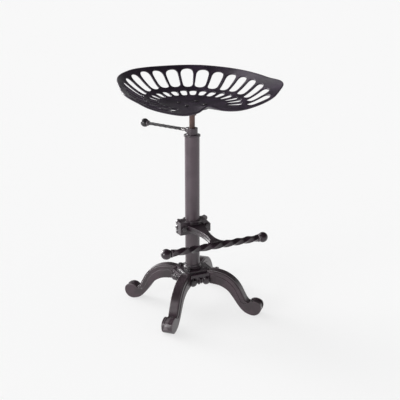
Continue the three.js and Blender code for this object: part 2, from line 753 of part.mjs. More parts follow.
seatScrewAngles.forEach((angle, i) => {
  const reach = seatScrew.distance + seatScrew.headRadius;
  const headBottom = bowlHeight(reach * Math.cos(degrees(angle)), reach * Math.sin(degrees(angle))) + seatingGap;
  const [crownRadiusShare, crownHeightShare] = seatScrewCrownShares;
  const profile = [
    [0, mountPlateUnderside], [seatScrew.shankRadius, mountPlateUnderside], [seatScrew.shankRadius, headBottom],
    [seatScrew.headRadius, headBottom],
    [seatScrew.headRadius * crownRadiusShare, headBottom + seatScrew.headHeight * crownHeightShare],
    [0, headBottom + seatScrew.headHeight],
  ];
  const screw = turned(profile, roundSides.small).translate(seatScrew.distance, 0, 0);
  addPiece(`seat_screw_${i + 1}`, screw, darkSteel).rotation.z = degrees(angle);
});

// Footrest clamp halves
function clampHalf(front) {
  const bottom = clampHeight - clampTall / 2;
  const outer = columnRadius + seatingGap + clampWall;
  const earDepth = front ? clampEar.front : clampEar.back;
  const side = front ? -1 : 1;
  let body = solid(rod(outer, bottom, bottom + clampTall, roundSides.large));
  body = body.add(
    solid(box(2 * clampEar.reach, earDepth, clampTall, 0, (side * earDepth) / 2, clampHeight)),
  );
  const farSide = box(
    4 * clampEar.reach, 2 * outer, 2 * clampTall, 0, side * (clampSplit - outer), clampHeight,
  );
  body = body.subtract(solid(farSide));
  const chamfer = box(rightEarChamfer * Math.SQRT2, 4 * clampEar.front, rightEarChamfer * Math.SQRT2, 0, 0, 0)
    .rotateY(degrees(45))
    .translate(clampEar.reach, 0, bottom + clampTall);
  body = body.subtract(solid(chamfer));
  const columnHole = rod(
    columnRadius + seatingGap, bottom - cutOverrun, bottom + clampTall + cutOverrun, roundSides.large,
  );
  body = body.subtract(solid(columnHole));
  for (const x of [-clampEar.boltDistance, clampEar.boltDistance]) {
    const reach = clampEar.front + clampEar.back;
    const hole = alongFront(rod(clampBolt.shankRadius + seatingGap, -reach, reach, roundSides.small));
    body = body.subtract(solid(hole.translate(x, 0, clampHeight)));
  }
  return body;
}

// Half-width of the arm at a share of its length: a straight taper to the neck, then a flare
function armHalfWidth(share) {
  if (share < armNeckShare) {
    const along = share / armNeckShare;
    return armRootHalf + (armNeckHalf - armRootHalf) * Math.sin((along * Math.PI) / 2);
  }
  const along = (share - armNeckShare) / (1 - armNeckShare);
  return armNeckHalf + (armFlareHalf - armNeckHalf) * (1 - Math.sqrt(1 - along ** 2));
}

function armLayer(inset, bottom, height) {
  const start = columnRadius + seatingGap + clampWall / 2;
  const length = barDistance - start;
  const side = Array.from({ length: armCurveSteps + 1 }, (_, i) => {
    const share = i / armCurveSteps;
    return [armHalfWidth(share) - inset, -(start + share * length)];
  });
  const outline = [...side, ...side.map(([x, y]) => [-x, y]).reverse()];
  const layer = extruded(shapeOf(outline.reverse()), bottom, height);
  const position = layer.attributes.position;
  for (let i = 0; i < position.count; i += 1) {
    const share = (-position.getY(i) - start) / length;
    position.setZ(i, position.getZ(i) - armDrop * Math.max(share, 0) ** 2);
  }
  return solid(layer);
}

function footrestArm() {
  const armTop = clampHeight + armTall / 2;
  const lip = (armTall - armGroove.height) / 2;
  const overlap = armGroove.depth / 2;
  let arm = clampHalf(true);
  let web = armLayer(0, armTop - lip, lip).add(armLayer(0, armTop - armTall, lip));
  web = web.add(armLayer(armGroove.depth, armTop - armTall + overlap, armTall - 2 * overlap));
  const columnHole = rod(
    columnRadius + seatingGap, armTop - 2 * armTall, armTop + armTall, roundSides.large,
  );
  arm = arm.add(web.subtract(solid(columnHole)));
  const cradle = alongX(rod(barRadius + seatingGap, -barHalfLength, barHalfLength, roundSides.large));
  return arm.subtract(solid(cradle.translate(0, -barDistance, barHeight)));
}

addPiece("footrest_arm", footrestArm(), castIron);
addPiece("footrest_clamp", clampHalf(false), castIron);

// Bolts and nuts of the clamp
[-clampEar.boltDistance, clampEar.boltDistance].forEach((x, i) => {
  const side = i === 0 ? "left" : "right";
  const boltLength = clampEar.front + clampEar.back + clampNut.height + 3 * seatingGap;
  const bolt = alongFront(hexBolt(clampBolt, boltLength));
  addPiece(`clamp_bolt_${side}`, bolt.translate(x, -clampEar.front - seatingGap, clampHeight), darkSteel);
  const nutBlank = solid(extruded(hexagon(clampNut.radius), 0, clampNut.height));
  const nutHole = rod(
    clampBolt.shankRadius + seatingGap, -cutOverrun, clampNut.height + cutOverrun, roundSides.small,
  );
  const nut = alongFront(geometryOf(nutBlank.subtract(solid(nutHole))));
  const nutFace = clampEar.back + seatingGap + clampNut.height;
  addPiece(`clamp_nut_${side}`, nut.translate(x, nutFace, clampHeight), darkSteel);
});

// Footrest bar, twisted like rope, with a ball at each end
const barTwist = twistedRod(
  barRadius, barGroove, barStrands, barTwistLead, 2 * barHalfLength, twistSides, barTwistSteps,
);
addPiece(
  "footrest_bar",
  alongX(barTwist.translate(0, 0, -barHalfLength)).translate(0, -barDistance, barHeight),
  castIron,
);
for (const [name, turn] of [["footrest_ball_left", 180], ["footrest_ball_right", 0]]) {
  const ball = ballEnd(barBallRadius, barNeck.radius, barNeck.length, ballSides);
  const placed = alongX(ball.translate(0, 0, barHalfLength + seatingGap)).rotateZ(degrees(turn));
  addPiece(name, placed.translate(0, -barDistance, barHeight), castIron);
}

// The origin is on the floor, under the middle of the stool's bounding box
const bounds = new THREE.Box3().setFromObject(stool);
stool.position.y = -(bounds.min.y + bounds.max.y) / 2;

export default stool;
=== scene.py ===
import json
import math
import bmesh
import bpy
import numpy as np
from mathutils import Matrix, Vector
from mathutils.geometry import delaunay_2d_cdt

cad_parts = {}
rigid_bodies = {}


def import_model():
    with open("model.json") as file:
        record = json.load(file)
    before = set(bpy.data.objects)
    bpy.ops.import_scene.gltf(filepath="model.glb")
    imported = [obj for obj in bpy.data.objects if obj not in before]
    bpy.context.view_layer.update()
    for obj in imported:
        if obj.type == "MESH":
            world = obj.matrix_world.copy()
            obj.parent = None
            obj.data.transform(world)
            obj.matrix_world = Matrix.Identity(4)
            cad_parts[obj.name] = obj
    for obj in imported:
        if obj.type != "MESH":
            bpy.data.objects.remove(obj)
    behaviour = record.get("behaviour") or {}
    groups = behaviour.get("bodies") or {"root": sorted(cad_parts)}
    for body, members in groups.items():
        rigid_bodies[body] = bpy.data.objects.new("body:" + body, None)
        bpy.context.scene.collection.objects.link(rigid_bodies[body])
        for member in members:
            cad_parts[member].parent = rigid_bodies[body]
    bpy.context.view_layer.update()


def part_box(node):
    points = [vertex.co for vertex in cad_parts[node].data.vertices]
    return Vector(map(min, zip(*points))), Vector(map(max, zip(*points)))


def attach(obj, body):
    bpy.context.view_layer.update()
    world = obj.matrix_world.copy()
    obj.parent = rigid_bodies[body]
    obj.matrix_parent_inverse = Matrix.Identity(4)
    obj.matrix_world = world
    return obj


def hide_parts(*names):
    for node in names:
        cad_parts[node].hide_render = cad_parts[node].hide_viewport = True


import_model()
mm = 0.001
norm = np.linalg.norm
axisY = sum(corner.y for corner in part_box("column")) / 2  # the pieces are made round the column's axis, in mm


# graphs of nodes, with sums written as plain Python
class Val:
    def __init__(self, graph, socket):
        self.graph, self.socket = graph, socket

    def sum(self, operation, *values):
        return self.graph.node("ShaderNodeMath", dict(enumerate(values)), operation=operation)

    def __add__(self, other): return self.sum("ADD", self, other)
    def __radd__(self, other): return self.sum("ADD", other, self)
    def __sub__(self, other): return self.sum("SUBTRACT", self, other)
    def __rsub__(self, other): return self.sum("SUBTRACT", other, self)
    def __mul__(self, other): return self.sum("MULTIPLY", self, other)
    def __rmul__(self, other): return self.sum("MULTIPLY", other, self)
    def __truediv__(self, other): return self.sum("DIVIDE", self, other)


class Graph:
    def __init__(self, tree):
        self.tree = tree

    def node(self, kind, values=None, out=None, **settings):
        made = self.tree.nodes.new(kind)
        for key, value in settings.items():
            setattr(made, key, value)
        for key, value in (values or {}).items():
            self.feed(made.inputs[key], value)
        if out is None:
            return Val(self, next(socket for socket in made.outputs if socket.enabled))
        return Val(self, made.outputs[out])

    def feed(self, socket, value):
        if isinstance(value, Val):
            self.tree.links.new(value.socket, socket)
        else:
            socket.default_value = (*value, 1) if socket.type == "RGBA" else value

    def spread(self, value, low, high, toLow=0.0, toHigh=1.0):
        values = {"Value": value, "From Min": low, "From Max": high, "To Min": toLow, "To Max": toHigh}
        return self.node("ShaderNodeMapRange", values, "Result", interpolation_type="SMOOTHSTEP")

    def scaled(self, vector, factor):
        return self.node("ShaderNodeVectorMath", {"Vector": vector, "Scale": factor}, operation="SCALE")

    def part(self, vector, axis):
        return self.node("ShaderNodeSeparateXYZ", {"Vector": vector}, axis)

    def rays(self, *kinds):  # 1 for a ray of any of these kinds
        first, *others = [self.node("ShaderNodeLightPath", out=f"Is {kind} Ray") for kind in kinds]
        for other in others:
            first = first.sum("MAXIMUM", first, other)
        return first


class Finish(Graph):
    def __init__(self, name):
        self.material = bpy.data.materials.new(name)
        self.material.use_nodes = True
        super().__init__(self.material.node_tree)
        self.shader = self.tree.nodes["Principled BSDF"]
        self.place = self.node("ShaderNodeTexCoord", out="Object")

    def noise(self, scale, detail, roughness=0.55, place=None):
        values = {"Vector": place or self.place, "Scale": scale, "Detail": detail, "Roughness": roughness}
        return self.node("ShaderNodeTexNoise", values, "Fac")

    def mix(self, factor, first, second):
        return self.node("ShaderNodeMix", {"Factor": factor, 6: first, 7: second}, 2, data_type="RGBA")

    def bump(self, height, distance):
        return self.node("ShaderNodeBump", {"Height": height, "Distance": distance})

    def done(self, **values):
        for key, value in values.items():
            self.feed(self.shader.inputs[key.replace("_", " ")], value)
        return self.material


# finishes
def castFinish(name, look):
    f = Finish(name)
    cloud = f.spread(f.noise(look["cloud"], 3), 0.35, 0.65)
    grain = f.noise(look["grain"], 5, 0.62)
    pits = f.spread(f.noise(look["grain"] * 0.45, 2), 0.62, 0.74)
    # the sharp edges, marked for wear and for a painted highlight
    edge = f.spread(f.node("ShaderNodeNewGeometry", out="Pointiness"), 0.51, 0.57)
    colour = f.mix(cloud, look["dark"], look["light"])
    if "foot" in look:  # painted shade, darker towards the foot: from, to and how much colour is left
        low, high, left = look["foot"]
        paintedFootShade = f.mix(cloud, *[[part * left for part in look[key]] for key in ("dark", "light")])
        colour = f.mix(f.spread(f.part(f.place, "Z"), low, high), paintedFootShade, colour)
    # edges lighter: partly real wear, partly a painted highlight where edges catch the light
    colour = f.mix(edge * look["wearAndHighlight"], colour, look["wornAndHighlit"])
    rough = look["rough"] + (grain - 0.5) * look["roughSpread"] + (cloud - 0.5) * 0.08 - edge * look["wearAndHighlight"] * 0.12
    height = grain * 0.7 + cloud * 0.5 - pits * 0.5
    return f.done(Base_Color=colour, Roughness=rough, Metallic=look["metal"], Specular_IOR_Level=look["specular"],
                  Coat_Weight=look["coat"], Coat_Roughness=look["coatRough"], Normal=f.bump(height, look["depth"]))


seatLook = {"dark": (0.010, 0.003, 0.014), "light": (0.024, 0.011, 0.030), "wornAndHighlit": (0.11, 0.09, 0.115), "wearAndHighlight": 0.5,
            "cloud": 26, "grain": 520, "rough": 0.42, "roughSpread": 0.14, "metal": 0.0, "specular": 0.6,
            "coat": 0.0, "coatRough": 0.2, "depth": 0.0002}
# painted shade: ironLook and legLook are one paint, ironLook the darker copy; on the hub and the foot ring it stands
# in for the shade under the plate's rim and the seat
ironLook = {**seatLook, "dark": (0.008, 0.002, 0.006), "light": (0.021, 0.007, 0.016), "wornAndHighlit": (0.2, 0.17, 0.185),
            "rough": 0.46, "specular": 0.5, "coat": 0.7, "coatRough": 0.28, "wearAndHighlight": 0.6, "grain": 430, "cloud": 34}
legLook = {**ironLook, "dark": (0.017, 0.006, 0.011), "light": (0.037, 0.016, 0.026), "coat": 0.5}
barLook = {**ironLook, "specular": 0.3, "coat": 0.8, "coatRough": 0.2}
capLook = {**ironLook, "dark": (0.026, 0.013, 0.021), "light": (0.048, 0.030, 0.041), "rough": 0.34, "coat": 0.0,
           "specular": 0.75, "wearAndHighlight": 0.5, "depth": 0.00015, "grain": 700, "cloud": 18}
# the column's foot entry paints shade: its colour grows darker towards the foot
columnLook = {**capLook, "dark": (0.062, 0.038, 0.051), "light": (0.084, 0.055, 0.071), "wearAndHighlight": 0.2,
              "foot": (0.12, 0.5, 0.55)}
steelLook = {**ironLook, "dark": (0.013, 0.012, 0.014), "light": (0.030, 0.027, 0.030), "rough": 0.34,
             "metal": 0.15, "wearAndHighlight": 0.5, "coat": 0.3, "grain": 600, "cloud": 60}
seatIron = castFinish("seatIron", seatLook)
castIron = castFinish("castIron", ironLook)
legIron = castFinish("legIron", legLook)
barIron = castFinish("barIron", barLook)
columnIron = castFinish("columnIron", columnLook)
capIron = castFinish("capIron", capLook)
darkSteel = castFinish("darkSteel", steelLook)


def turnedFinish(name, look):
    f = Finish(name)
    # the turning marks run round one axis
    scale = [look["marks"] if i == look["along"] else look["marks"] * 0.03 for i in range(3)]
    fine = f.noise(1, 3, 0.5, f.node("ShaderNodeMapping", {"Vector": f.place, "Scale": scale}))
    stain = f.spread(f.noise(look["stain"], 4, 0.6), 0.4, 0.66)
    colour = f.mix(stain, look["metalColour"], look["stainColour"])
    rough = look["rough"] + (fine - 0.5) * 0.16 + stain * look["stainRough"]
    metal = look["metal"] - stain * look["stainDull"]
    return f.done(Base_Color=colour, Roughness=rough, Metallic=metal, Normal=f.bump(fine, look["depth"]))


spindleLook = {"along": 2, "marks": 2600, "stain": 55, "metalColour": (0.125, 0.075, 0.065), "rough": 0.38,
               "stainColour": (0.07, 0.04, 0.034), "stainRough": 0.1, "metal": 0.55, "stainDull": 0.3,
               "depth": 0.00005}
bareSteel = turnedFinish("bareSteel", spindleLook)
brightSteel = turnedFinish("brightSteel", {**spindleLook, "metalColour": (0.8, 0.78, 0.78), "rough": 0.25,
                                           "stainColour": (0.35, 0.33, 0.32), "metal": 0.95, "stainDull": 0.1})
brass = turnedFinish("brass", {**spindleLook, "metalColour": (0.6, 0.42, 0.17), "stainColour": (0.35, 0.23, 0.1),
                               "metal": 0.95, "stainDull": 0.2, "rough": 0.3})
print("finishes made")


# shapes, in mm round the column's axis
def shaded(bm, angle=32):
    limit = math.radians(angle)
    for face in bm.faces:
        face.smooth = True
    for edge in bm.edges:
        edge.smooth = len(edge.link_faces) == 2 and edge.calc_face_angle(0) < limit


def written(bm, mesh):
    bm.to_mesh(mesh)
    bm.free()
    return mesh


def toMesh(bm, angle=32, matrix=None):
    if matrix:
        moved(bm, matrix)
    shaded(moved(bm, shift(0, axisY, 0) @ Matrix.Scale(mm, 4)), angle)
    return written(bm, bpy.data.meshes.new("shape"))


def fromMesh(mesh):
    bm = bmesh.new()
    bm.from_mesh(mesh)
    return bm


def addObject(data, name):
    made = bpy.data.objects.new(name, data)
    bpy.context.scene.collection.objects.link(made)
    return made


def addPiece(name, mesh, body, nodes, finish):
    piece = addObject(mesh, name)
    mesh.name = name
    mesh.materials.clear()
    mesh.materials.append(finish)
    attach(piece, body)
    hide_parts(*nodes)
    return piece


def evaluated(made):
    graph = bpy.context.evaluated_depsgraph_get()
    mesh = bpy.data.meshes.new_from_object(made.evaluated_get(graph))
    bpy.data.objects.remove(made)
    return mesh


def joined(*shapes):
    whole = shapes[0]
    for shape in shapes[1:]:
        mesh = bpy.data.meshes.new("part")
        shape.to_mesh(mesh)
        whole.from_mesh(mesh)
        bpy.data.meshes.remove(mesh)
        shape.free()
    return whole


def moved(bm, *matrices):
    for matrix in matrices:
        bmesh.ops.transform(bm, matrix=matrix, verts=bm.verts)
    return bm


def inMm(mesh):
    return moved(fromMesh(mesh), Matrix.Scale(1 / mm, 4))


def shift(x, y, z):
    return Matrix.Translation((x, y, z))


def spin(angle, axis="Z"):
    return Matrix.Rotation(math.radians(angle), 4, axis)


def around(radius, angle):
    return radius * math.cos(angle), radius * math.sin(angle)


def unit(vector):
    return vector / norm(vector)


# the right-hand normals of the steps along a path
def normalsOf(along):
    return np.column_stack([along[:, 1], -along[:, 0]]) / norm(along, axis=1)[:, None]


def bridge(bm, low, high):
    for i in range(len(low)):
        k = (i + 1) % len(low)
        bm.faces.new((low[i], low[k], high[k], high[i]))


def facedOut(bm):
    bmesh.ops.recalc_face_normals(bm, faces=bm.faces)
    return bm


# the corners of a profile, as names of a radius and a height in the look, or 0 for the axis
def profileOf(look, corners):
    return [tuple(look.get(part, 0) for part in corner.split()) for corner in corners.split(", ")]


def turned(profile, sides=72):
    bm = bmesh.new()
    rows = []
    for radius, height in profile:
        if radius < 1e-6:
            rows.append([bm.verts.new((0, 0, height))])
        else:
            rows.append([bm.verts.new((*around(radius, 2 * math.pi * i / sides), height)) for i in range(sides)])
    if len(rows[0]) > 1 and len(rows[-1]) > 1:
        rows.append(rows[0])
    for low, high in zip(rows, rows[1:]):
        if len(low) == len(high):
            bridge(bm, low, high)
            continue
        for i in range(sides):
            k = (i + 1) % sides
            bm.faces.new((low[0], high[k], high[i]) if len(low) == 1 else (low[i], low[k], high[0]))
    return facedOut(bm)


# a curve that sets out towards a corner and comes in from it
def bend(start, corner, end, steps):
    return [(1 - t) ** 2 * start + 2 * t * (1 - t) * corner + t * t * end for t in np.linspace(0, 1, steps + 1)]


def rounded(profile, radius, steps=4):
    points = [np.array(p, float) for p in profile]
    made = []
    for i, point in enumerate(points):
        if point[0] < 1e-6:
            made.append(tuple(point))
            continue
        sides = [points[i - 1] - point, points[(i + 1) % len(points)] - point]
        reach = min(radius, *[norm(side) * 0.45 for side in sides])
        start, end = [point + unit(side) * reach for side in sides]
        made += [tuple(p) for p in bend(start, point, end, steps)]
    return made


def prism(outline, low, high):
    bm = bmesh.new()
    bottom, top = [[bm.verts.new((x, y, z)) for x, y in outline] for z in (low, high)]
    bm.faces.new(bottom[::-1])
    bm.faces.new(top)
    bridge(bm, bottom, top)
    return facedOut(bm)


# a block by its size and its middle
def block(width, depth, height, x, y, z):
    w, d = width / 2, depth / 2
    return moved(prism([(-w, -d), (w, -d), (w, d), (-w, d)], -height / 2, height / 2), shift(x, y, z))


def rod(radius, low, high, sides=64):
    return turned([(0, low), (radius, low), (radius, high), (0, high)], sides)


# a point on the curve from a to b with the tangents v and w
def onCurve(a, b, v, w, t):
    return (2 * a - 2 * b + v + w) * t ** 3 + (-3 * a + 3 * b - 2 * v - w) * t ** 2 + v * t + a


def throughPoints(points, steps):
    points = [np.array(p, float) for p in points]
    last = len(points) - 1
    made = []
    for i in range(last):
        a, b, c, d = points[max(i - 1, 0)], points[i], points[i + 1], points[min(i + 2, last)]
        made += [onCurve(b, c, (c - a) / 2, (d - b) / 2, t) for t in np.linspace(0, 1, steps + 1)[:-1]]
    return made + [points[last]]


def cutBy(made, operation, other):
    cut = made.modifiers.new(operation.lower(), "BOOLEAN")
    cut.operation, cut.solver, cut.object = operation, "EXACT", other


# a cut can leave specks of a few faces where two walls meet
def withoutSpecks(bm, least=60):
    bmesh.ops.triangulate(bm, faces=bm.faces)
    bmesh.ops.dissolve_degenerate(bm, dist=2e-6, edges=bm.edges)
    bmesh.ops.remove_doubles(bm, verts=bm.verts, dist=1e-7)
    left, specks = set(bm.faces), []
    while left:
        island = front = [left.pop()]
        while front:
            front = {near for face in front for edge in face.edges if len(edge.link_faces) == 2
                     for near in edge.link_faces if near in left}
            left -= front
            island = island + list(front)
        if len(island) < least:
            specks += island
    bmesh.ops.delete(bm, geom=specks, context="FACES")


def bored(name, mesh, cuts):
    made = addObject(mesh, name)
    cutters = [addObject(toMesh(cut), name + "Cut") for cut in cuts]
    for cutter in cutters[1:]:
        cutBy(cutters[0], "UNION", cutter)
    cutBy(made, "DIFFERENCE", cutters[0])
    mesh = evaluated(made)
    for cutter in cutters:
        bpy.data.objects.remove(cutter)
    bm = fromMesh(mesh)
    withoutSpecks(bm)
    shaded(bm, 40)
    return written(bm, mesh)


# a casting: the shapes grown together with soft fillets, and then bored
def casting(name, look, shapes, cuts):
    made = addObject(toMesh(joined(*shapes)), name)
    remesh = made.modifiers.new("grown", "REMESH")
    remesh.mode, remesh.voxel_size = "VOXEL", look["voxel"] * mm
    smooth = made.modifiers.new("soft", "SMOOTH")
    smooth.factor, smooth.iterations = 0.5, look["soften"]
    return bored(name, evaluated(made), cuts)


# trees of geometry nodes, with named inputs
class ShapeTree(Graph):
    def __init__(self, name, inputs):
        super().__init__(bpy.data.node_groups.new(name, "GeometryNodeTree"))
        sockets = self.tree.interface
        self.ids = {}
        for label, kind in inputs.items():
            self.ids[label] = sockets.new_socket(label, in_out="INPUT", socket_type="NodeSocket" + kind).identifier
        sockets.new_socket("Result", in_out="OUTPUT", socket_type="NodeSocketGeometry")
        self.given = {label: Val(self, socket)
                      for label, socket in zip(inputs, self.tree.nodes.new("NodeGroupInput").outputs)}

    def end(self, shape):
        whole = self.node("GeometryNodeRealizeInstances", {"Geometry": shape})
        dressed = self.node("GeometryNodeSetMaterial", {"Geometry": whole, "Material": self.given["Finish"]})
        self.tree.links.new(dressed.socket, self.tree.nodes.new("NodeGroupOutput").inputs["Result"])

    def grow(self, made, values):
        modifier = made.modifiers.new(self.tree.name, "NODES")
        modifier.node_group = self.tree
        for label, value in values.items():
            modifier[self.ids[label]] = value
        return evaluated(made)


# a twisted rod: a line with a growing tilt, and a section with sharp ridges and hollow sides
def twistTree():
    t = ShapeTree("twistedRod", {"Length": "Float", "Radius": "Float", "Groove": "Float", "Ridges": "Float",
                                 "Lead": "Float", "Sides": "Int", "Steps": "Int", "Finish": "Material"})
    given = t.given
    far = t.node("ShaderNodeCombineXYZ", {"Z": given["Length"]})
    line = t.node("GeometryNodeCurvePrimitiveLine", {"End": far})
    line = t.node("GeometryNodeResampleCurve", {"Curve": line, "Count": given["Steps"]})
    along = t.node("GeometryNodeSplineParameter", out="Length")
    line = t.node("GeometryNodeSetCurveTilt", {"Curve": line, "Tilt": along / given["Lead"] * (2 * math.pi)})
    circle = t.node("GeometryNodeCurvePrimitiveCircle", {"Resolution": given["Sides"], "Radius": 1.0})
    place = t.node("GeometryNodeInputPosition")
    angle = place.sum("ARCTAN2", t.part(place, "Y"), t.part(place, "X"))
    wave = place.sum("ABSOLUTE", place.sum("SINE", angle * given["Ridges"] / 2))
    section = t.scaled(place, given["Radius"] - given["Groove"] * wave)
    circle = t.node("GeometryNodeSetPosition", {"Geometry": circle, "Position": section})
    t.end(t.node("GeometryNodeCurveToMesh", {"Curve": line, "Profile Curve": circle, "Fill Caps": True}))
    return t


# a set of fasteners: one shape on every point, turned as the point says
def fastenerTree():
    t = ShapeTree("fastenerSet", {"Points": "Geometry", "Fastener": "Object", "Finish": "Material"})
    shape = t.node("GeometryNodeObjectInfo", {"Object": t.given["Fastener"]}, "Geometry")
    turn = t.node("GeometryNodeInputNamedAttribute", {"Name": "turn"}, data_type="FLOAT_VECTOR")
    t.end(t.node("GeometryNodeInstanceOnPoints", {"Points": t.given["Points"], "Instance": shape, "Rotation": turn}))
    return t


twistShape, fastenerShape = twistTree(), fastenerTree()


def twisted(name, look, finish, matrix):
    values = {label: look[label.lower()] * mm for label in ("Length", "Radius", "Groove", "Lead")}
    values.update({label: look[label.lower()] for label in ("Ridges", "Sides", "Steps")})
    mesh = twistShape.grow(addObject(bpy.data.meshes.new(name), name), {**values, "Finish": finish})
    return toMesh(inMm(mesh), look["sharp"], matrix)


# places in mm round the column's axis, each with a turn in degrees round X, Y and Z
def addFasteners(name, shape, places, body, nodes):
    one = addObject(toMesh(shape), name + "One")
    one.data.transform(Matrix.Translation((0, -axisY, 0)))
    points = bpy.data.meshes.new(name)
    points.from_pydata([(x * mm, y * mm + axisY, z * mm) for (x, y, z), _ in places], [], [])
    turns = points.attributes.new("turn", "FLOAT_VECTOR", "POINT")
    for i, (_, turn) in enumerate(places):
        turns.data[i].vector = [*map(math.radians, turn)]
    mesh = fastenerShape.grow(addObject(points, name), {"Fastener": one, "Finish": darkSteel})
    bpy.data.objects.remove(one)
    addPiece(name, mesh, body, nodes, darkSteel)


# a hexagon head on a washer face, the shank hanging below height 0; the crown is given as the share of the
# radius, the share of the chamfer that it lies below the top, and how round it is
hexagon = {"sides": 48, "washer": 0.84, "washerHeight": 0.35, "tip": 0.6, "overlap": 0.2,
           "crown": [(1, 0.45, 0), (0.985, 0.3, 0.2), (0.93, 0.1, 0.75), (0.86, 0, 1)]}


def hexPiece(look, length=0, bore=0):
    bm = bmesh.new()
    radius, height, sides = look["head"], look["height"], hexagon["sides"]
    washer, low = hexagon["washer"], hexagon["washerHeight"]
    rows = [(washer, 0, 1), (washer, low, 1), (1, low, 0)]
    rows += [(share, height - look["chamfer"] * down, roundness) for share, down, roundness in hexagon["crown"]]
    angles = [2 * math.pi * i / sides for i in range(sides)]
    rings = []
    for share, z, roundness in rows:
        ring = []
        for a in angles:
            flat = math.cos(math.radians(30)) / math.cos((a % math.radians(60)) - math.radians(30))
            ring.append(bm.verts.new((*around(radius * share * (flat + (1 - flat) * roundness), a), z)))
        rings.append(ring)
    if bore:
        rings += [[bm.verts.new((*around(bore, a), z)) for a in angles] for z in (height, 0)]
        rings.append(rings[0])
    for low, high in zip(rings, rings[1:]):
        bridge(bm, low, high)
    if not bore:
        bm.faces.new(rings[0][::-1])
        bm.faces.new(rings[-1])
    facedOut(bm)
    if length:
        shank, tip, top = look["shank"], hexagon["tip"], hexagon["overlap"]
        joined(bm, turned([(0, -length), (shank - tip, -length), (shank, -length + tip), (shank, top), (0, top)], 32))
    return bm


# hub; here and below rods are given as radius, low and high, and blocks as size and middle
hub = {
    "underside": 84, "height": 38, "half": 40, "corner": 48, "plate": 6, "lip": 2, "voxel": 0.8, "soften": 3,
    "band": (59, 15, 19), "socketFoot": 92, "drain": (12, 50, 95), "legRoom": (60, 32.2, 90, 78.3, 0, 103),
    "pocket": (21.3, 14.6, 24.6, 40.35, 0, 100), "dimple": (3.5, 7, 3.5), "dimplesAt": (-20, 0, 20),
    "dimplesOut": 3, "dimpleHeight": 104.5, "lobesOut": 9.5, "lobesTop": 110,
    "lobes": [(-21, 13, 12, 15), (-3.6, 4.6, 11.5, 13), (4.2, 4.2, 10.5, 12), (21, 13, 12, 15)]}
hubTop = hub["underside"] + hub["height"]
legAngles = {"leg_front_right": -45, "leg_back_right": 45, "leg_back_left": 135, "leg_front_left": -135}
columnRadius = 21.1
clear = 0.3  # the play between two pieces


def squareOutline(half, corner):
    cut = corner * math.sqrt(2) - half
    points = [(half, cut), (cut, half), (-cut, half), (-half, cut)]
    return points + [(-x, -y) for x, y in points]


def ellipsoid(x, y, z, width, depth, height):
    bm = bmesh.new()
    bmesh.ops.create_uvsphere(bm, u_segments=40, v_segments=24, radius=1)
    return moved(bm, Matrix.Diagonal((width, depth, height, 1)), shift(x, y, z))


def hubMesh():
    face, corner, top = hub["half"] - hub["lip"], hub["corner"], hubTop
    shapes = [prism(squareOutline(face, corner), hub["underside"], top - hub["lip"]),
              prism(squareOutline(hub["half"], corner), top - hub["plate"], top)]
    cuts = [rod(columnRadius + clear, hub["socketFoot"], top + 5, 96), rod(*hub["drain"])]
    width, depth, height = hub["band"]
    for side in range(4):
        turn = spin(90 * side)
        shapes.append(moved(block(width, 2 * depth, height, 0, -face, top - hub["plate"] - height / 2), turn))
        for x, *size in hub["lobes"]:
            lobe = ellipsoid(x, -face - hub["lobesOut"], hub["lobesTop"] - size[2], *size)
            shapes.append(moved(lobe, turn))
        for x in hub["dimplesAt"]:
            dimple = ellipsoid(x, -face - depth - hub["dimplesOut"], hub["dimpleHeight"], *hub["dimple"])
            cuts.append(moved(dimple, turn))
    for angle in legAngles.values():
        cuts += [moved(block(*hub[room]), spin(angle)) for room in ("legRoom", "pocket")]
    return casting("hub", hub, shapes, cuts)


# the hub takes the darker iron as painted shade
addPiece("hubCasting", hubMesh(), "base", ["hub"], castIron)
print("hub made")

# legs: the outline is in distance from the axis and height, as shares of the reach and the root height
leg = {
    "reach": 189, "root": 120, "start": 48.3, "flat": 4.5, "scroll": 25.5, "steps": 6, "voxel": 0.75, "soften": 2,
    "boltAt": 38, "boltHole": (4.3, 80, 130), "tongue": (25, 14, 24, 42.5, 0, 100),
    "moulding": [(31.4, 15), (28, 3.8), (23, 0)], "channel": (18, 2.6), "channelFrom": 14, "channelTo": -3,
    "top": [(0.381, 1.02), (0.503, 0.99), (0.608, 0.925), (0.709, 0.81), (0.78, 0.672), (0.836, 0.51),
        (0.884, 0.372)],
    "under": [(0.36, 0.688), (0.46, 0.668), (0.54, 0.62), (0.614, 0.54), (0.693, 0.388), (0.757, 0.243),
        (0.82, 0.127), (0.885, 0.048)],
    "notch": (0.93, 0.305), "curl": [(1.09, 0.365), (0.985, 0.415)], "curlAngle": 25, "arcSteps": 26,
    "curlSteps": 20}


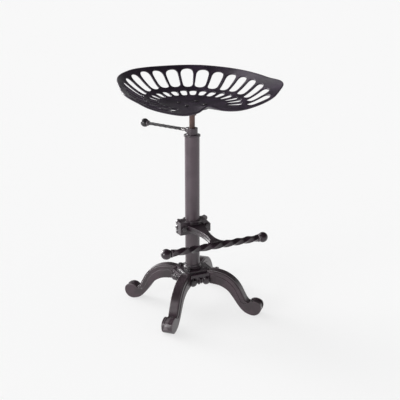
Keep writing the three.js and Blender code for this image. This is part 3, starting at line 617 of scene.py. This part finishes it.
def legOutline(drop, part=None):
    size = np.array([leg["reach"], leg["root"]])
    notch = np.array(leg["notch"]) * size
    top = throughPoints([(leg["start"], leg["root"]), *[np.array(p) * size for p in leg["top"]], notch], leg["steps"])
    lowered = []
    for i, point in enumerate(top):
        along = unit(top[min(i + 1, len(top) - 1)] - top[max(i - 1, 0)])
        depth = drop * min(1, (len(top) - 1 - i) / leg["steps"])
        lowered.append((max(point[0] + along[1] * depth, leg["start"]), point[1] - along[0] * depth))
    radius, flat = leg["scroll"], leg["flat"]
    centre = math.sqrt(radius ** 2 - flat ** 2)
    under = throughPoints([(leg["start"], hub["underside"]), *[np.array(p) * size for p in leg["under"]],
                           (leg["reach"] - 2 * flat, flat / 4)], leg["steps"])
    angles = np.linspace(-math.asin(centre / radius), math.radians(leg["curlAngle"]), leg["arcSteps"])
    arc = [(leg["reach"] + radius * math.cos(a), centre + radius * math.sin(a)) for a in angles]
    a, b, c, d = np.array(arc[-1]), np.array(leg["curl"][0]) * size, np.array(leg["curl"][1]) * size, notch
    curl = [(1 - t) ** 3 * a + 3 * t * (1 - t) ** 2 * b + 3 * t * t * (1 - t) * c + t ** 3 * d
            for t in np.linspace(0, 1, leg["curlSteps"])[1:]]
    if part == "scroll":
        return [*arc[leg["channelFrom"]:], *curl[:leg["channelTo"]]]
    return [*under, (leg["reach"] - flat, 0), *arc, *curl, *lowered[-2::-1]]


# a channel that runs out at its start, cut from the left side of a path
def channelAlong(path, width, depth):
    path = np.array(path)
    across = normalsOf(np.gradient(path, axis=0))
    depths = depth * np.minimum(1, np.linspace(0.15, 3, len(path)))[:, None]
    ring = [*(path + 4 * across), *(path - depths * across)[::-1]]  # the cutter stands 4 mm proud
    return prism([tuple(p) for p in ring], -width / 2, width / 2)


def legMesh():
    upright = spin(90, "X")
    steps = [moved(prism(legOutline(drop), -width / 2, width / 2), upright) for width, drop in leg["moulding"]]
    hole = moved(rod(*leg["boltHole"]), shift(leg["boltAt"], 0, 0))
    cuts = [hole, moved(channelAlong(legOutline(0, "scroll"), *leg["channel"]), upright)]
    return casting("leg", leg, [*steps, block(*leg["tongue"])], cuts)


legShape = legMesh()
for name, angle in legAngles.items():
    mesh = legShape.copy()
    centre = shift(0, axisY, 0)
    mesh.transform(centre @ spin(angle) @ centre.inverted())
    addPiece(name.replace("leg_", "legCasting_"), mesh, "base", [name], legIron)
bpy.data.meshes.remove(legShape)

legBolt = {"head": 6.5, "height": 5.5, "chamfer": 1.4, "shank": 4, "length": 25.6}
boltPlaces = [((*around(leg["boltAt"], math.radians(a)), hubTop + clear), (0, 0, a)) for a in legAngles.values()]
addFasteners("legBolts", hexPiece(legBolt, legBolt["length"]), boltPlaces, "base",
             [f"leg_bolt_{i}" for i in (1, 2, 3, 4)])
print("legs and their bolts made")

# column with its foot ring, and the cap that clamps the spindle
column = {"radius": columnRadius, "bore": 17.9, "low": 92.3, "socketTop": 98, "capFoot": 512, "high": 514.7,
          "edge": 0.7}
pipe = profileOf(column, "bore low, radius low, radius socketTop, radius capFoot, radius high, bore high")
addPiece("columnPipe", toMesh(turned(rounded(pipe, column["edge"]), 96)), "base", ["column"], columnIron)

footRing = {"bore": columnRadius + clear, "radius": 26, "neck": 23.2, "low": hubTop + clear,
            "lip": hubTop + clear + 4, "waist": hubTop + clear + 6, "top": hubTop + clear + 12, "edge": 0.9}
ring = profileOf(footRing, "bore low, radius low, radius lip, neck waist, neck top, bore top")
# the foot ring takes the darker iron as painted shade near the column's foot
addPiece("footRing", toMesh(turned(rounded(ring, footRing["edge"]), 96)), "base", ["column_foot_ring"], castIron)

cap = {"foot": 485, "seat": 515, "base": 520, "top": 539, "spigot": 17.6, "flange": 23.4, "collar": 15.8,
       "boss": (7.5, 5, 20), "bore": (8.1, 465, 548), "screwHole": (5.3, 3, 29), "voxel": 0.55, "soften": 2}
lever = {"direction": 116, "height": 531}
leverLine = shift(0, 0, lever["height"]) @ spin(lever["direction"]) @ spin(90, "Y")
body = turned(profileOf(cap, "0 foot, spigot foot, spigot seat, flange seat, flange base, collar base, collar top, "
                             "0 top"))
boss, screwHole = [moved(rod(*cap[name]), leverLine) for name in ("boss", "screwHole")]
capShape = casting("cap", cap, [body, boss], [rod(*cap["bore"]), screwHole])
addPiece("columnCap", capShape, "base", ["column_cap"], capIron)
print("column made")

# clamp lever: screw, twisted rod and ball, made along +Z and turned to their line
leverScrew = {"start": 13, "length": 23, "radius": 5, "groove": 0.55, "ridges": 1, "lead": 1.5, "sides": 32,
              "steps": 246, "sharp": 60}
leverRod = {"start": 36.3, "length": 124.7, "radius": 4.9, "groove": 0.7, "ridges": 3, "lead": 57, "sides": 48,
            "steps": 96, "sharp": 50}
leverBall = {"start": 161.3, "radius": 12.6, "bead": 7.8, "beadLength": 5, "seat": 0.8}
beadEdge = {"round": 0.9, "tuck": 0.2}


def ballEnd(look, low):
    neck, top, radius, edge = look["bead"], low + look["beadLength"], look["radius"], beadEdge["round"]
    centre = top + look["seat"] * radius
    bead = [(neck - edge, low), (neck, low + edge), (neck, top - edge), (neck - edge, top - beadEdge["tuck"])]
    arc = [(radius * math.cos(a), centre + radius * math.sin(a))
           for a in np.linspace(-math.asin(look["seat"]), math.pi / 2, 36)]
    return turned([(0, low), *bead, *arc[:-1], (0, centre + radius)], 64)


for name, look, node, finish, slot in [("leverScrewThread", leverScrew, "lever_screw", brightSteel, "bright_steel"),
                                       ("leverTwistedRod", leverRod, "lever_rod", darkSteel, "dark_steel")]:
    mesh = twisted(name, look, finish, leverLine @ shift(0, 0, look["start"]))
    addPiece(name, mesh, "lever", [node], finish)
mesh = toMesh(ballEnd(leverBall, leverBall["start"]), 50, leverLine)
addPiece("leverKnob", mesh, "lever", ["lever_ball"], darkSteel)

# spindle, and the mount that turns on it
spindle = {"radius": 8, "foot": 301.4, "top": 593.4, "shoulder": 12, "shoulderLow": 574.5, "shoulderHigh": 578.5,
           "groove": 6, "grooveLow": 583.8, "grooveHigh": 590.6, "tap": 3.3, "tapTop": 315.4, "edge": 0.8}
profile = profileOf(spindle, "0 tapTop, tap tapTop, tap foot, radius foot, radius shoulderLow, shoulder shoulderLow, "
                             "shoulder shoulderHigh, radius shoulderHigh, radius grooveLow, groove grooveLow, "
                             "groove grooveHigh, radius grooveHigh, radius top, 0 top")
mesh = toMesh(turned(rounded(profile, spindle["edge"]), 64))
addPiece("spindleBar", mesh, "spindle", ["spindle"], bareSteel)

mount = {"low": 580.7, "plateLow": 594.7, "top": 600.7, "socket": 15, "plate": 48, "bore": (8.1, 571.7, 593.7),
         "screwAt": 38, "screwHole": (3.3, 580, 610), "pin": (3.3, 0, 30), "pinHeight": 587.2, "voxel": 0.9,
         "soften": 3}
screwAngles = [45, 135, 225, 315]
body = turned(profileOf(mount, "0 low, socket low, socket plateLow, plate plateLow, plate top, 0 top"))
holes = [moved(rod(*mount["screwHole"]), shift(mount["screwAt"], 0, 0), spin(a)) for a in screwAngles]
pin = moved(rod(*mount["pin"]), spin(90, "Y"), shift(0, 0, mount["pinHeight"]))
mountShape = casting("seatMount", mount, [body], [rod(*mount["bore"]), pin, *holes])
addPiece("seatMountCasting", mountShape, "seat", ["seat_mount"], castIron)
print("lever, spindle and mount made")

# seat pan: a flat sheet with slots, in shares of the distance to the rim, clockwise from the back
seat = {
    "centre": 606, "halfWidth": 230, "back": 205, "front": 142, "depth": 82, "backPower": 3.1, "frontPower": 2.4,
    "thickness": 5, "rimPoints": 380, "spacing": 4.6, "clear": 1.9, "room": 2.5, "gridHalf": 240, "gridRows": 60,
    "rowStep": 0.866,
    "rimBack": [(0, 1, 0.975), (0.232, 0.95, 0.985), (0.444, 0.845, 0.985), (0.608, 0.69, 0.965),
        (0.752, 0.485, 0.935), (0.856, 0.23, 0.895), (0.915, 0, 0.845)],
    "rimFront": [(0.957, 0.28, 0.785), (1, 0.61, 0.745), (0.985, 0.735, 0.675), (0.905, 0.835, 0.53),
        (0.795, 0.92, 0.35), (0.6, 0.965, 0.16), (0.355, 0.925, 0.01), (0.16, 0.81, 0.02), (0, 0.71, 0.165)],
    "slotEdge": [(2.4, 0), (1.75, 0), (0.9, -0.25), (0.27, -0.85), (0, -1.7), (-0.06, -2.5)],
    "rimEdge": [(2.6, 0), (1.7, 0), (0.5, -0.3), (-0.3, -1.0), (-0.5, -1.8), (-0.54, -2.5)]}
# the middles of each slot's outer and inner end on the right, in shares of half the width and of the depth
outerSlots = {
    "ends": [(0.1, 0.944, 0.073, 0.688), (0.298, 0.884, 0.217, 0.634), (0.483, 0.754, 0.337, 0.549),
        (0.627, 0.577, 0.443, 0.407), (0.731, 0.384, 0.526, 0.249), (0.799, 0.187, 0.578, 0.098),
        (0.84, -0.008, 0.602, -0.106), (0.858, -0.276, 0.6, -0.352), (0.847, -0.532, 0.565, -0.57),
        (0.777, -0.775, 0.491, -0.782)],
    "outerBar": 10, "innerBar": 7.5, "across": 12, "along": 20}
innerSlots = {
    "ends": [(0, 0.614, 0, 0.483), (0.127, 0.598, 0.1, 0.461), (0.243, 0.54, 0.191, 0.422),
        (0.352, 0.438, 0.265, 0.356), (0.434, 0.31, 0.326, 0.263), (0.5, 0.162, 0.38, 0.151),
        (0.529, -0.004, 0.396, 0.034), (0.537, -0.231, 0.4, -0.113), (0.525, -0.425, 0.378, -0.268),
        (0.467, -0.628, 0.33, -0.423)],
    "outerBar": 9, "innerBar": 8.5, "across": 12, "along": 12}
slotCorner = {"across": 0.5, "along": 0.4}


# the rim as a smooth closed curve through its points
def rimCurve(steps=40):
    back = [(x * seat["halfWidth"], y * seat["back"], z * seat["depth"]) for x, y, z in seat["rimBack"]]
    front = [(x * seat["halfWidth"], -y * seat["front"], z * seat["depth"]) for x, y, z in seat["rimFront"]]
    right = back + front
    points = np.array(right + [(-x, y, z) for x, y, z in right[1:-1][::-1]])
    made = []
    for i in range(len(points)):
        p = [points[(i + k - 1) % len(points)] for k in range(4)]
        d = [norm(p[k + 1] - p[k]) ** 0.5 for k in range(3)]
        first, second = [((p[k] - p[k - 1]) / d[k - 1] - (p[k + 1] - p[k - 1]) / (d[k - 1] + d[k])
                          + (p[k + 1] - p[k]) / d[k]) * d[1] for k in (1, 2)]
        made += [onCurve(p[1], p[2], first, second, t) for t in np.arange(steps) / steps]
    return np.array(made)


rim = rimCurve()
rimAngles = np.degrees(np.arctan2(rim[:, 0], rim[:, 1])) % 360
rimOrder = np.argsort(rimAngles)


def rimAt(points, values):
    angles = np.degrees(np.arctan2(points[:, 0], points[:, 1])) % 360
    return np.interp(angles, rimAngles[rimOrder], values[rimOrder], period=360)


def evenly(run, count, closed=True):
    run = np.vstack([run, run[:1]]) if closed else np.array(run)
    far = np.concatenate([[0], np.cumsum(norm(np.diff(run, axis=0), axis=1))])
    places = np.linspace(0, far[-1], count + 1)[:-1]
    return np.column_stack([np.interp(places, far, run[:, k]) for k in (0, 1)])


def slotOutlines(slots):
    ends = [[np.array((x * seat["halfWidth"], y * (seat["back"] if y > 0 else seat["front"])))
             for x, y in (row[:2], row[2:])] for row in slots["ends"]]
    made = []
    for i, (outer, inner) in enumerate(ends):
        near = ends[i + 1] if i + 1 < len(ends) else ends[i - 1]
        high = (norm(outer - near[0]) - slots["outerBar"]) / 2
        low = (norm(inner - near[1]) - slots["innerBar"]) / 2
        along = unit(outer - inner)
        across = np.array((along[1], -along[0]))
        corners = [inner - across * low, inner + across * low, outer + across * high, outer - across * high]
        parts = []
        for k, corner in enumerate(corners):
            half = low if k < 2 else high
            back, ahead = 2 * half * slotCorner["along"], 2 * half * slotCorner["across"]
            if k % 2:
                back, ahead = ahead, back
            before, after = unit(corners[k - 1] - corner), unit(corners[(k + 1) % 4] - corner)
            parts.append(bend(corner + before * back, corner, corner + after * ahead, 16))
        loop = np.vstack([evenly(parts[k][8:] + parts[(k + 1) % 4][:9], slots["along" if k % 2 else "across"], False)
                          for k in range(4)])
        made.append(loop)
        if outer[0] > 0:
            made.append(loop * (-1, 1))
    return made


# the outward normals of a loop, and the points that lie inside one
def outwardsOf(loop):
    across = normalsOf(np.roll(loop, -1, axis=0) - np.roll(loop, 1, axis=0))
    return across if np.sum(across * (loop - loop.mean(axis=0))) > 0 else -across


def within(points, loop):
    x, y = points[:, 0, None], points[:, 1, None]
    a, b = loop, np.roll(loop, -1, axis=0)
    spans = (a[:, 1] > y) != (b[:, 1] > y)
    rise = np.where(b[:, 1] == a[:, 1], 1e-9, b[:, 1] - a[:, 1])
    return np.sum(spans & (x < (b[:, 0] - a[:, 0]) * (y - a[:, 1]) / rise + a[:, 0]), axis=1) % 2 == 1


# whether the points lie in the sheet: inside the last loop and outside all others
def inSheet(points, loops):
    inside = within(points, loops[-1])
    for loop in loops[:-1]:
        inside &= ~within(points, loop)
    return inside


def nearest(points, others):
    return np.array([np.min(np.hypot(*(others - point).T)) for point in points])


def seatSheet():
    outlines = slotOutlines(outerSlots) + slotOutlines(innerSlots)
    rimLoop = evenly(rim[:, :2], seat["rimPoints"])
    points, depths, faces, borders = [], [], [], []
    for loop in [*outlines, rimLoop]:
        isRim = loop is rimLoop
        normals = outwardsOf(loop) * (-1 if isRim else 1)
        others = np.vstack([other for other in [*outlines, rimLoop] if other is not loop])
        size = np.clip(nearest(loop, others) / (2 * seat["room"]), 0.3, 1)
        first, count = len(points), len(loop)
        for grow, depth in seat["rimEdge"] if isRim else seat["slotEdge"]:
            points += list(loop + normals * (grow * size)[:, None])
            share = size if depth > -2 else np.ones(count)
            depths += list(depth * share)
        for ring in range(len(seat["slotEdge"]) - 1):
            for i in range(count):
                a, b = first + ring * count + i, first + ring * count + (i + 1) % count
                faces.append((a, b, b + count, a + count))
        borders.append(range(first, first + count))
    borderLoops = [np.array([points[i] for i in border]) for border in borders]
    step, half, rows = seat["spacing"], seat["gridHalf"], seat["gridRows"]
    grid = np.array([(x + (row % 2) * step / 2, row * step * seat["rowStep"]) for row in range(-rows, rows)
                     for x in np.arange(-half, half, step)])
    grid = grid[inSheet(grid, borderLoops)]
    grid = grid[nearest(grid, np.vstack(borderLoops)) > seat["clear"]]
    known = [i for border in borders for i in border] + list(range(len(points), len(points) + len(grid)))
    points, depths = points + list(grid), depths + [0.0] * len(grid)
    edges, start = [], 0
    for border in borders:
        edges += [(start + i, start + (i + 1) % len(border)) for i in range(len(border))]
        start += len(border)
    made = delaunay_2d_cdt([Vector(points[i]) for i in known], edges, [], 0, 1e-5)
    plan = np.array([tuple(p) for p in made[0]])
    names = [known[sources[0]] for sources in made[3]]
    kept = inSheet(np.array([plan[list(face)].mean(axis=0) for face in made[2]]), borderLoops)
    faces += [tuple(names[i] for i in face) for face, stays in zip(made[2], kept) if stays]
    mesh = bpy.data.meshes.new("seatSheet")
    mesh.from_pydata([(x * mm, y * mm, 0) for x, y in points], [], faces)
    plan = np.array([tuple(p) for p in points])
    values = {"rimReach": rimAt(plan, np.hypot(rim[:, 0], rim[:, 1])), "rimRise": rimAt(plan, rim[:, 2]),
              "edgeDepth": np.array(depths)}
    for name, row in values.items():
        mesh.attributes.new(name, "FLOAT", "POINT").data.foreach_set("value", row * mm)
    bm = fromMesh(mesh)
    for face in bm.faces:
        if face.normal.z < 0:
            face.normal_flip()
    return written(bm, mesh)


# bends the flat sheet into the bowl, which rises as a power of the share of the way to the rim, rounds its
# edges by their depth, and closes it with an underside
def bowlTree():
    t = ShapeTree("seatBowl", {"Sheet": "Geometry", "Centre Height": "Float", "Back Power": "Float",
                               "Front Power": "Float", "Thickness": "Float", "Finish": "Material"})
    given = t.given
    reach, rise, depth = [t.node("GeometryNodeInputNamedAttribute", {"Name": name}, data_type="FLOAT")
                          for name in ("rimReach", "rimRise", "edgeDepth")]
    place = t.node("GeometryNodeInputPosition")
    distance = t.node("ShaderNodeVectorMath", {"Vector": place}, "Value", operation="LENGTH")
    towardsBack = (1 + t.part(place, "Y") / reach.sum("MAXIMUM", distance, 1e-6)) / 2
    power = given["Front Power"] + (given["Back Power"] - given["Front Power"]) * towardsBack
    height = given["Centre Height"] + rise * reach.sum("POWER", distance / reach, power)
    lift = t.node("ShaderNodeCombineXYZ", {"Z": height})
    bowl = t.node("GeometryNodeSetPosition", {"Geometry": given["Sheet"], "Offset": lift})
    normal = t.node("GeometryNodeInputNormal", out="Normal")

    def layer(offset):
        return t.node("GeometryNodeSetPosition", {"Geometry": bowl, "Offset": t.scaled(normal, offset)})

    under = t.node("GeometryNodeFlipFaces", {"Mesh": layer(0 - given["Thickness"] - depth)})
    both = t.node("GeometryNodeJoinGeometry", {"Geometry": layer(depth)})
    t.feed(both.socket.node.inputs["Geometry"], under)
    t.end(t.node("GeometryNodeMergeByDistance", {"Geometry": both, "Distance": 0.02 * mm}))
    return t


seatValues = {"Centre Height": seat["centre"] * mm, "Thickness": seat["thickness"] * mm, "Finish": seatIron,
              "Back Power": seat["backPower"], "Front Power": seat["frontPower"]}
bm = inMm(bowlTree().grow(addObject(seatSheet(), "seatSheet"), seatValues))
print("seat pan:", len(bm.faces), "faces,", sum(not edge.is_manifold for edge in bm.edges), "open edges")
addPiece("seatPanCasting", toMesh(bm, 60), "seat", ["seat_pan"], seatIron)

seatScrew = {"head": 6, "height": 2.6, "shank": 3, "low": 594.7, "slot": 1.3, "slotDepth": 1.1, "rim": 0.7,
             "under": 0.3, "turns": (20, 57, 94, 131)}


def seatScrewShape():
    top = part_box("seat_screw_1")[1].z / mm
    low, head, rim = top - seatScrew["height"], seatScrew["head"], seatScrew["rim"]
    rise = seatScrew["height"] - rim
    dome = [(head * math.cos(a), low + rim + rise * math.sin(a)) for a in np.linspace(0, math.pi / 2, 12)]
    body = turned([(0, seatScrew["low"]), (seatScrew["shank"], seatScrew["low"]), (seatScrew["shank"], low),
                   (head - seatScrew["under"], low), *dome[:-1], (0, top)], 40)
    slot = block(2 * head + 2, seatScrew["slot"], 2 * seatScrew["slotDepth"], 0, 0, top)
    return moved(inMm(bored("seatScrew", toMesh(body), [slot])), shift(0, -axisY / mm, 0))


screwPlaces = [((*around(mount["screwAt"], math.radians(a)), 0), (0, 0, turn))
               for a, turn in zip(screwAngles, seatScrew["turns"])]
addFasteners("seatScrews", seatScrewShape(), screwPlaces, "seat", [f"seat_screw_{i}" for i in (1, 2, 3, 4)])
print("seat made")

# footrest: two clamp halves, the arm with its grooved flanks, and the bar
clamp = {"height": 252, "tall": 38, "outer": 28.4, "split": 1, "ear": 48, "front": 22, "back": 9, "boltAt": 37,
         "chamfer": 14, "hole": (4.3, -60, 60), "voxel": 0.75, "soften": 3, "lug": (45, 42),
         "otherHalf": (200, 80, 100), "scallops": [(41, 14.5, 8.3), (42.8, 0, 8), (41, -14.5, 8.3)]}
arm = {"tall": 17, "drop": 9, "root": 27, "neck": 8, "flare": 26, "neckShare": 0.72, "groove": 2, "grooveTall": 6,
       "slope": 0.6, "start": 24.9, "steps": 48}
bar = {"distance": 149, "height": 240, "half": 132, "cradle": (8.2, -60, 60)}
barTwist = {"length": 264, "radius": 10.2, "groove": 2.1, "ridges": 4, "lead": -132, "turn": 70, "sides": 96,
            "steps": 200, "sharp": 32}
barBall = {"radius": 14.64, "bead": 11.5, "beadLength": 4, "seat": 0.8}


def armWidth(share):
    if share < arm["neckShare"]:
        return arm["root"] + (arm["neck"] - arm["root"]) * math.sin(share / arm["neckShare"] * math.pi / 2)
    along = (share - arm["neckShare"]) / (1 - arm["neckShare"])
    return arm["neck"] + (arm["flare"] - arm["neck"]) * (1 - math.sqrt(max(1 - along ** 2, 0)))


# the arm's section, wide at its top and foot, swept forwards and bent down
def armWeb():
    bm = bmesh.new()
    high, lip, depth, slope = arm["tall"] / 2, arm["grooveTall"] / 2, arm["groove"], arm["slope"]
    rings = []
    for share in np.linspace(0, 1, arm["steps"] + 1):
        w = armWidth(share)
        half = [(w, high), (w, lip + slope), (w - depth, lip - slope), (w - depth, slope - lip), (w, -lip - slope),
                (w, -high)]
        y = -(arm["start"] + share * (bar["distance"] - arm["start"]))
        z = clamp["height"] - arm["drop"] * share ** 2
        rings.append([bm.verts.new((x, y, z + up)) for x, up in half + [(-x, up) for x, up in half[::-1]]])
    for before, after in zip(rings, rings[1:]):
        bridge(bm, before, after)
    bm.faces.new(rings[0])
    bm.faces.new(rings[-1][::-1])
    return facedOut(bm)


def clampHalf(name, side, *extra):
    depth = clamp["front"] if side < 0 else clamp["back"]
    low, height, ear, chamfer = clamp["height"] - clamp["tall"] / 2, clamp["height"], clamp["ear"], clamp["chamfer"]
    top = low + clamp["tall"]
    outline = [(-ear, low), (ear, low), (ear, top - chamfer), (ear - chamfer, top), (-ear, top)]
    ears = moved(prism(outline, min(0, -side * depth), max(0, -side * depth)), spin(90, "X"))
    body = [rod(clamp["outer"], low, top, 96), ears]
    if side > 0:  # the back ears have a scalloped edge
        width, tall = clamp["lug"]
        body.append(block(2 * width, depth, tall, 0, depth / 2, height))
        for x, z, radius in clamp["scallops"]:
            for sign in (-1, 1):
                body.append(moved(rod(radius, 0, depth, 40), spin(-90, "X"), shift(sign * x, 0, height + z)))
    other = clamp["otherHalf"]
    cuts = [rod(columnRadius + clear, low - 30, top + 30, 96),
            block(*other, 0, side * (clamp["split"] - other[1] / 2), height)]
    for x in (-clamp["boltAt"], clamp["boltAt"]):
        cuts.append(moved(rod(*clamp["hole"]), spin(90, "X"), shift(x, 0, height)))
    if extra:
        cuts.append(moved(rod(*bar["cradle"]), spin(90, "Y"), shift(0, -bar["distance"], bar["height"])))
    return casting(name, clamp, [*body, *extra], cuts)


addPiece("footrestArmCasting", clampHalf("footrestArm", -1, armWeb()), "footrest", ["footrest_arm"], castIron)
addPiece("footrestClampCasting", clampHalf("footrestClamp", 1), "footrest", ["footrest_clamp"], castIron)

clampBolt = {"head": 7.5, "height": 5.5, "chamfer": 1.5, "shank": 4, "length": 38.4}
clampNut = {"head": 7.2, "height": 6.5, "chamfer": 1.2, "bore": 4.3}
boltEnds, nutEnds = [[((x, y, clamp["height"]), (tilt, 0, 0)) for x in (-clamp["boltAt"], clamp["boltAt"])]
                     for y, tilt in ((-clamp["front"] - clear, 90), (clamp["back"] + clear, -90))]
addFasteners("clampBolts", hexPiece(clampBolt, clampBolt["length"]), boltEnds, "footrest",
             ["clamp_bolt_left", "clamp_bolt_right"])
addFasteners("clampNuts", hexPiece(clampNut, 0, clampNut["bore"]), nutEnds, "footrest",
             ["clamp_nut_left", "clamp_nut_right"])

barMiddle = shift(0, -bar["distance"], bar["height"])
barLine = barMiddle @ spin(90, "Y") @ shift(0, 0, -bar["half"]) @ spin(barTwist["turn"])
addPiece("footrestTwistedBar", twisted("footrestTwistedBar", barTwist, barIron, barLine), "footrest",
         ["footrest_bar"], barIron)
for side, turn in (("right", 0), ("left", 180)):
    mesh = toMesh(ballEnd(barBall, bar["half"] + clear), 50, barMiddle @ spin(turn) @ spin(90, "Y"))
    addPiece("footrestKnob_" + side, mesh, "footrest", ["footrest_ball_" + side], barIron)
print("footrest made")

# pieces inside keep their solids
inside = {"clamp_pad": brass, "thrust_washer": brass, "spindle_guide": brass, "spindle_guide_bolt": darkSteel,
          "seat_retaining_screw": darkSteel}
for node, finish in inside.items():
    solid = bpy.data.objects[node]
    solid.data.materials.clear()
    solid.data.materials.append(finish)

# floor, light and camera
studio = {"white": 0.922, "floor": 0.9, "paper": 0.97, "fill": 0.52, "dim": 0.1, "dimFrom": -0.02, "dimTo": 0.3,
          "glow": 0.7, "half": 60}
lamps = {"window": {"strength": 1.35, "angle": 45, "turn": (58, 0, -148)},
         "leftStrip": {"strength": 4.6, "angle": 34, "turn": (87, 0, -155)},
         "sideWindow": {"strength": 1.55, "angle": 26, "turn": (81, 0, -74)}}


def studioFloor():
    f = Finish("floorPaper")
    place = addObject(bpy.data.meshes.new("floor"), "floor")
    corners = [(x * studio["half"], y * studio["half"], 0) for x, y in ((-1, -1), (1, -1), (1, 1), (-1, 1))]
    place.data.from_pydata(corners, [], [(0, 1, 2, 3)])
    f.done(Base_Color=(studio["floor"],) * 3, Roughness=0.9, Specular_IOR_Level=0.0)
    plain = f.node("ShaderNodeEmission", {"Color": (studio["paper"],) * 3})
    share = f.rays("Camera", "Glossy", "Transmission") * studio["glow"]  # keeps the shadow faint
    mixed = f.node("ShaderNodeMixShader", {"Fac": share, 1: Val(f, f.shader.outputs[0]), 2: plain})
    f.feed(f.tree.nodes["Material Output"].inputs["Surface"], mixed)
    place.data.materials.append(f.material)


def studioWorld():
    world = bpy.data.worlds.new("studio")
    bpy.context.scene.world = world
    world.use_nodes = True
    w = Graph(world.node_tree)
    back = w.tree.nodes["Background"]
    height = w.part(w.node("ShaderNodeTexCoord", out="Generated"), "Z")
    # in mirrors the room is dim above the white paper
    walls = w.spread(height, studio["dimFrom"], studio["dimTo"], 1, studio["dim"])
    seen = w.rays("Camera", "Transmission") * studio["white"] + w.rays("Glossy") * walls * studio["white"]
    direct = 1 - w.rays("Camera", "Transmission", "Glossy")
    w.feed(back.inputs["Color"], (1, 1, 1))
    w.feed(back.inputs["Strength"], seen + direct * studio["fill"])


studioFloor()
studioWorld()
for name, look in lamps.items():
    sun = bpy.data.lights.new(name, "SUN")
    sun.energy, sun.angle = look["strength"], math.radians(look["angle"])
    addObject(sun, name).rotation_euler = [*map(math.radians, look["turn"])]

view = {"place": (-0.8821, -1.8506 + axisY, 0.982), "turn": (72.3, 0, -26.1), "lens": 67.5, "sensor": 36, "far": 200}
eye = bpy.data.cameras.new("camera")
eye.lens, eye.sensor_width, eye.clip_end = view["lens"], view["sensor"], view["far"]
camera = addObject(eye, "camera")
camera.location = view["place"]
camera.rotation_euler = [*map(math.radians, view["turn"])]
bpy.context.scene.camera = camera
bpy.context.scene.view_settings.view_transform = "Standard"

print("stage set")
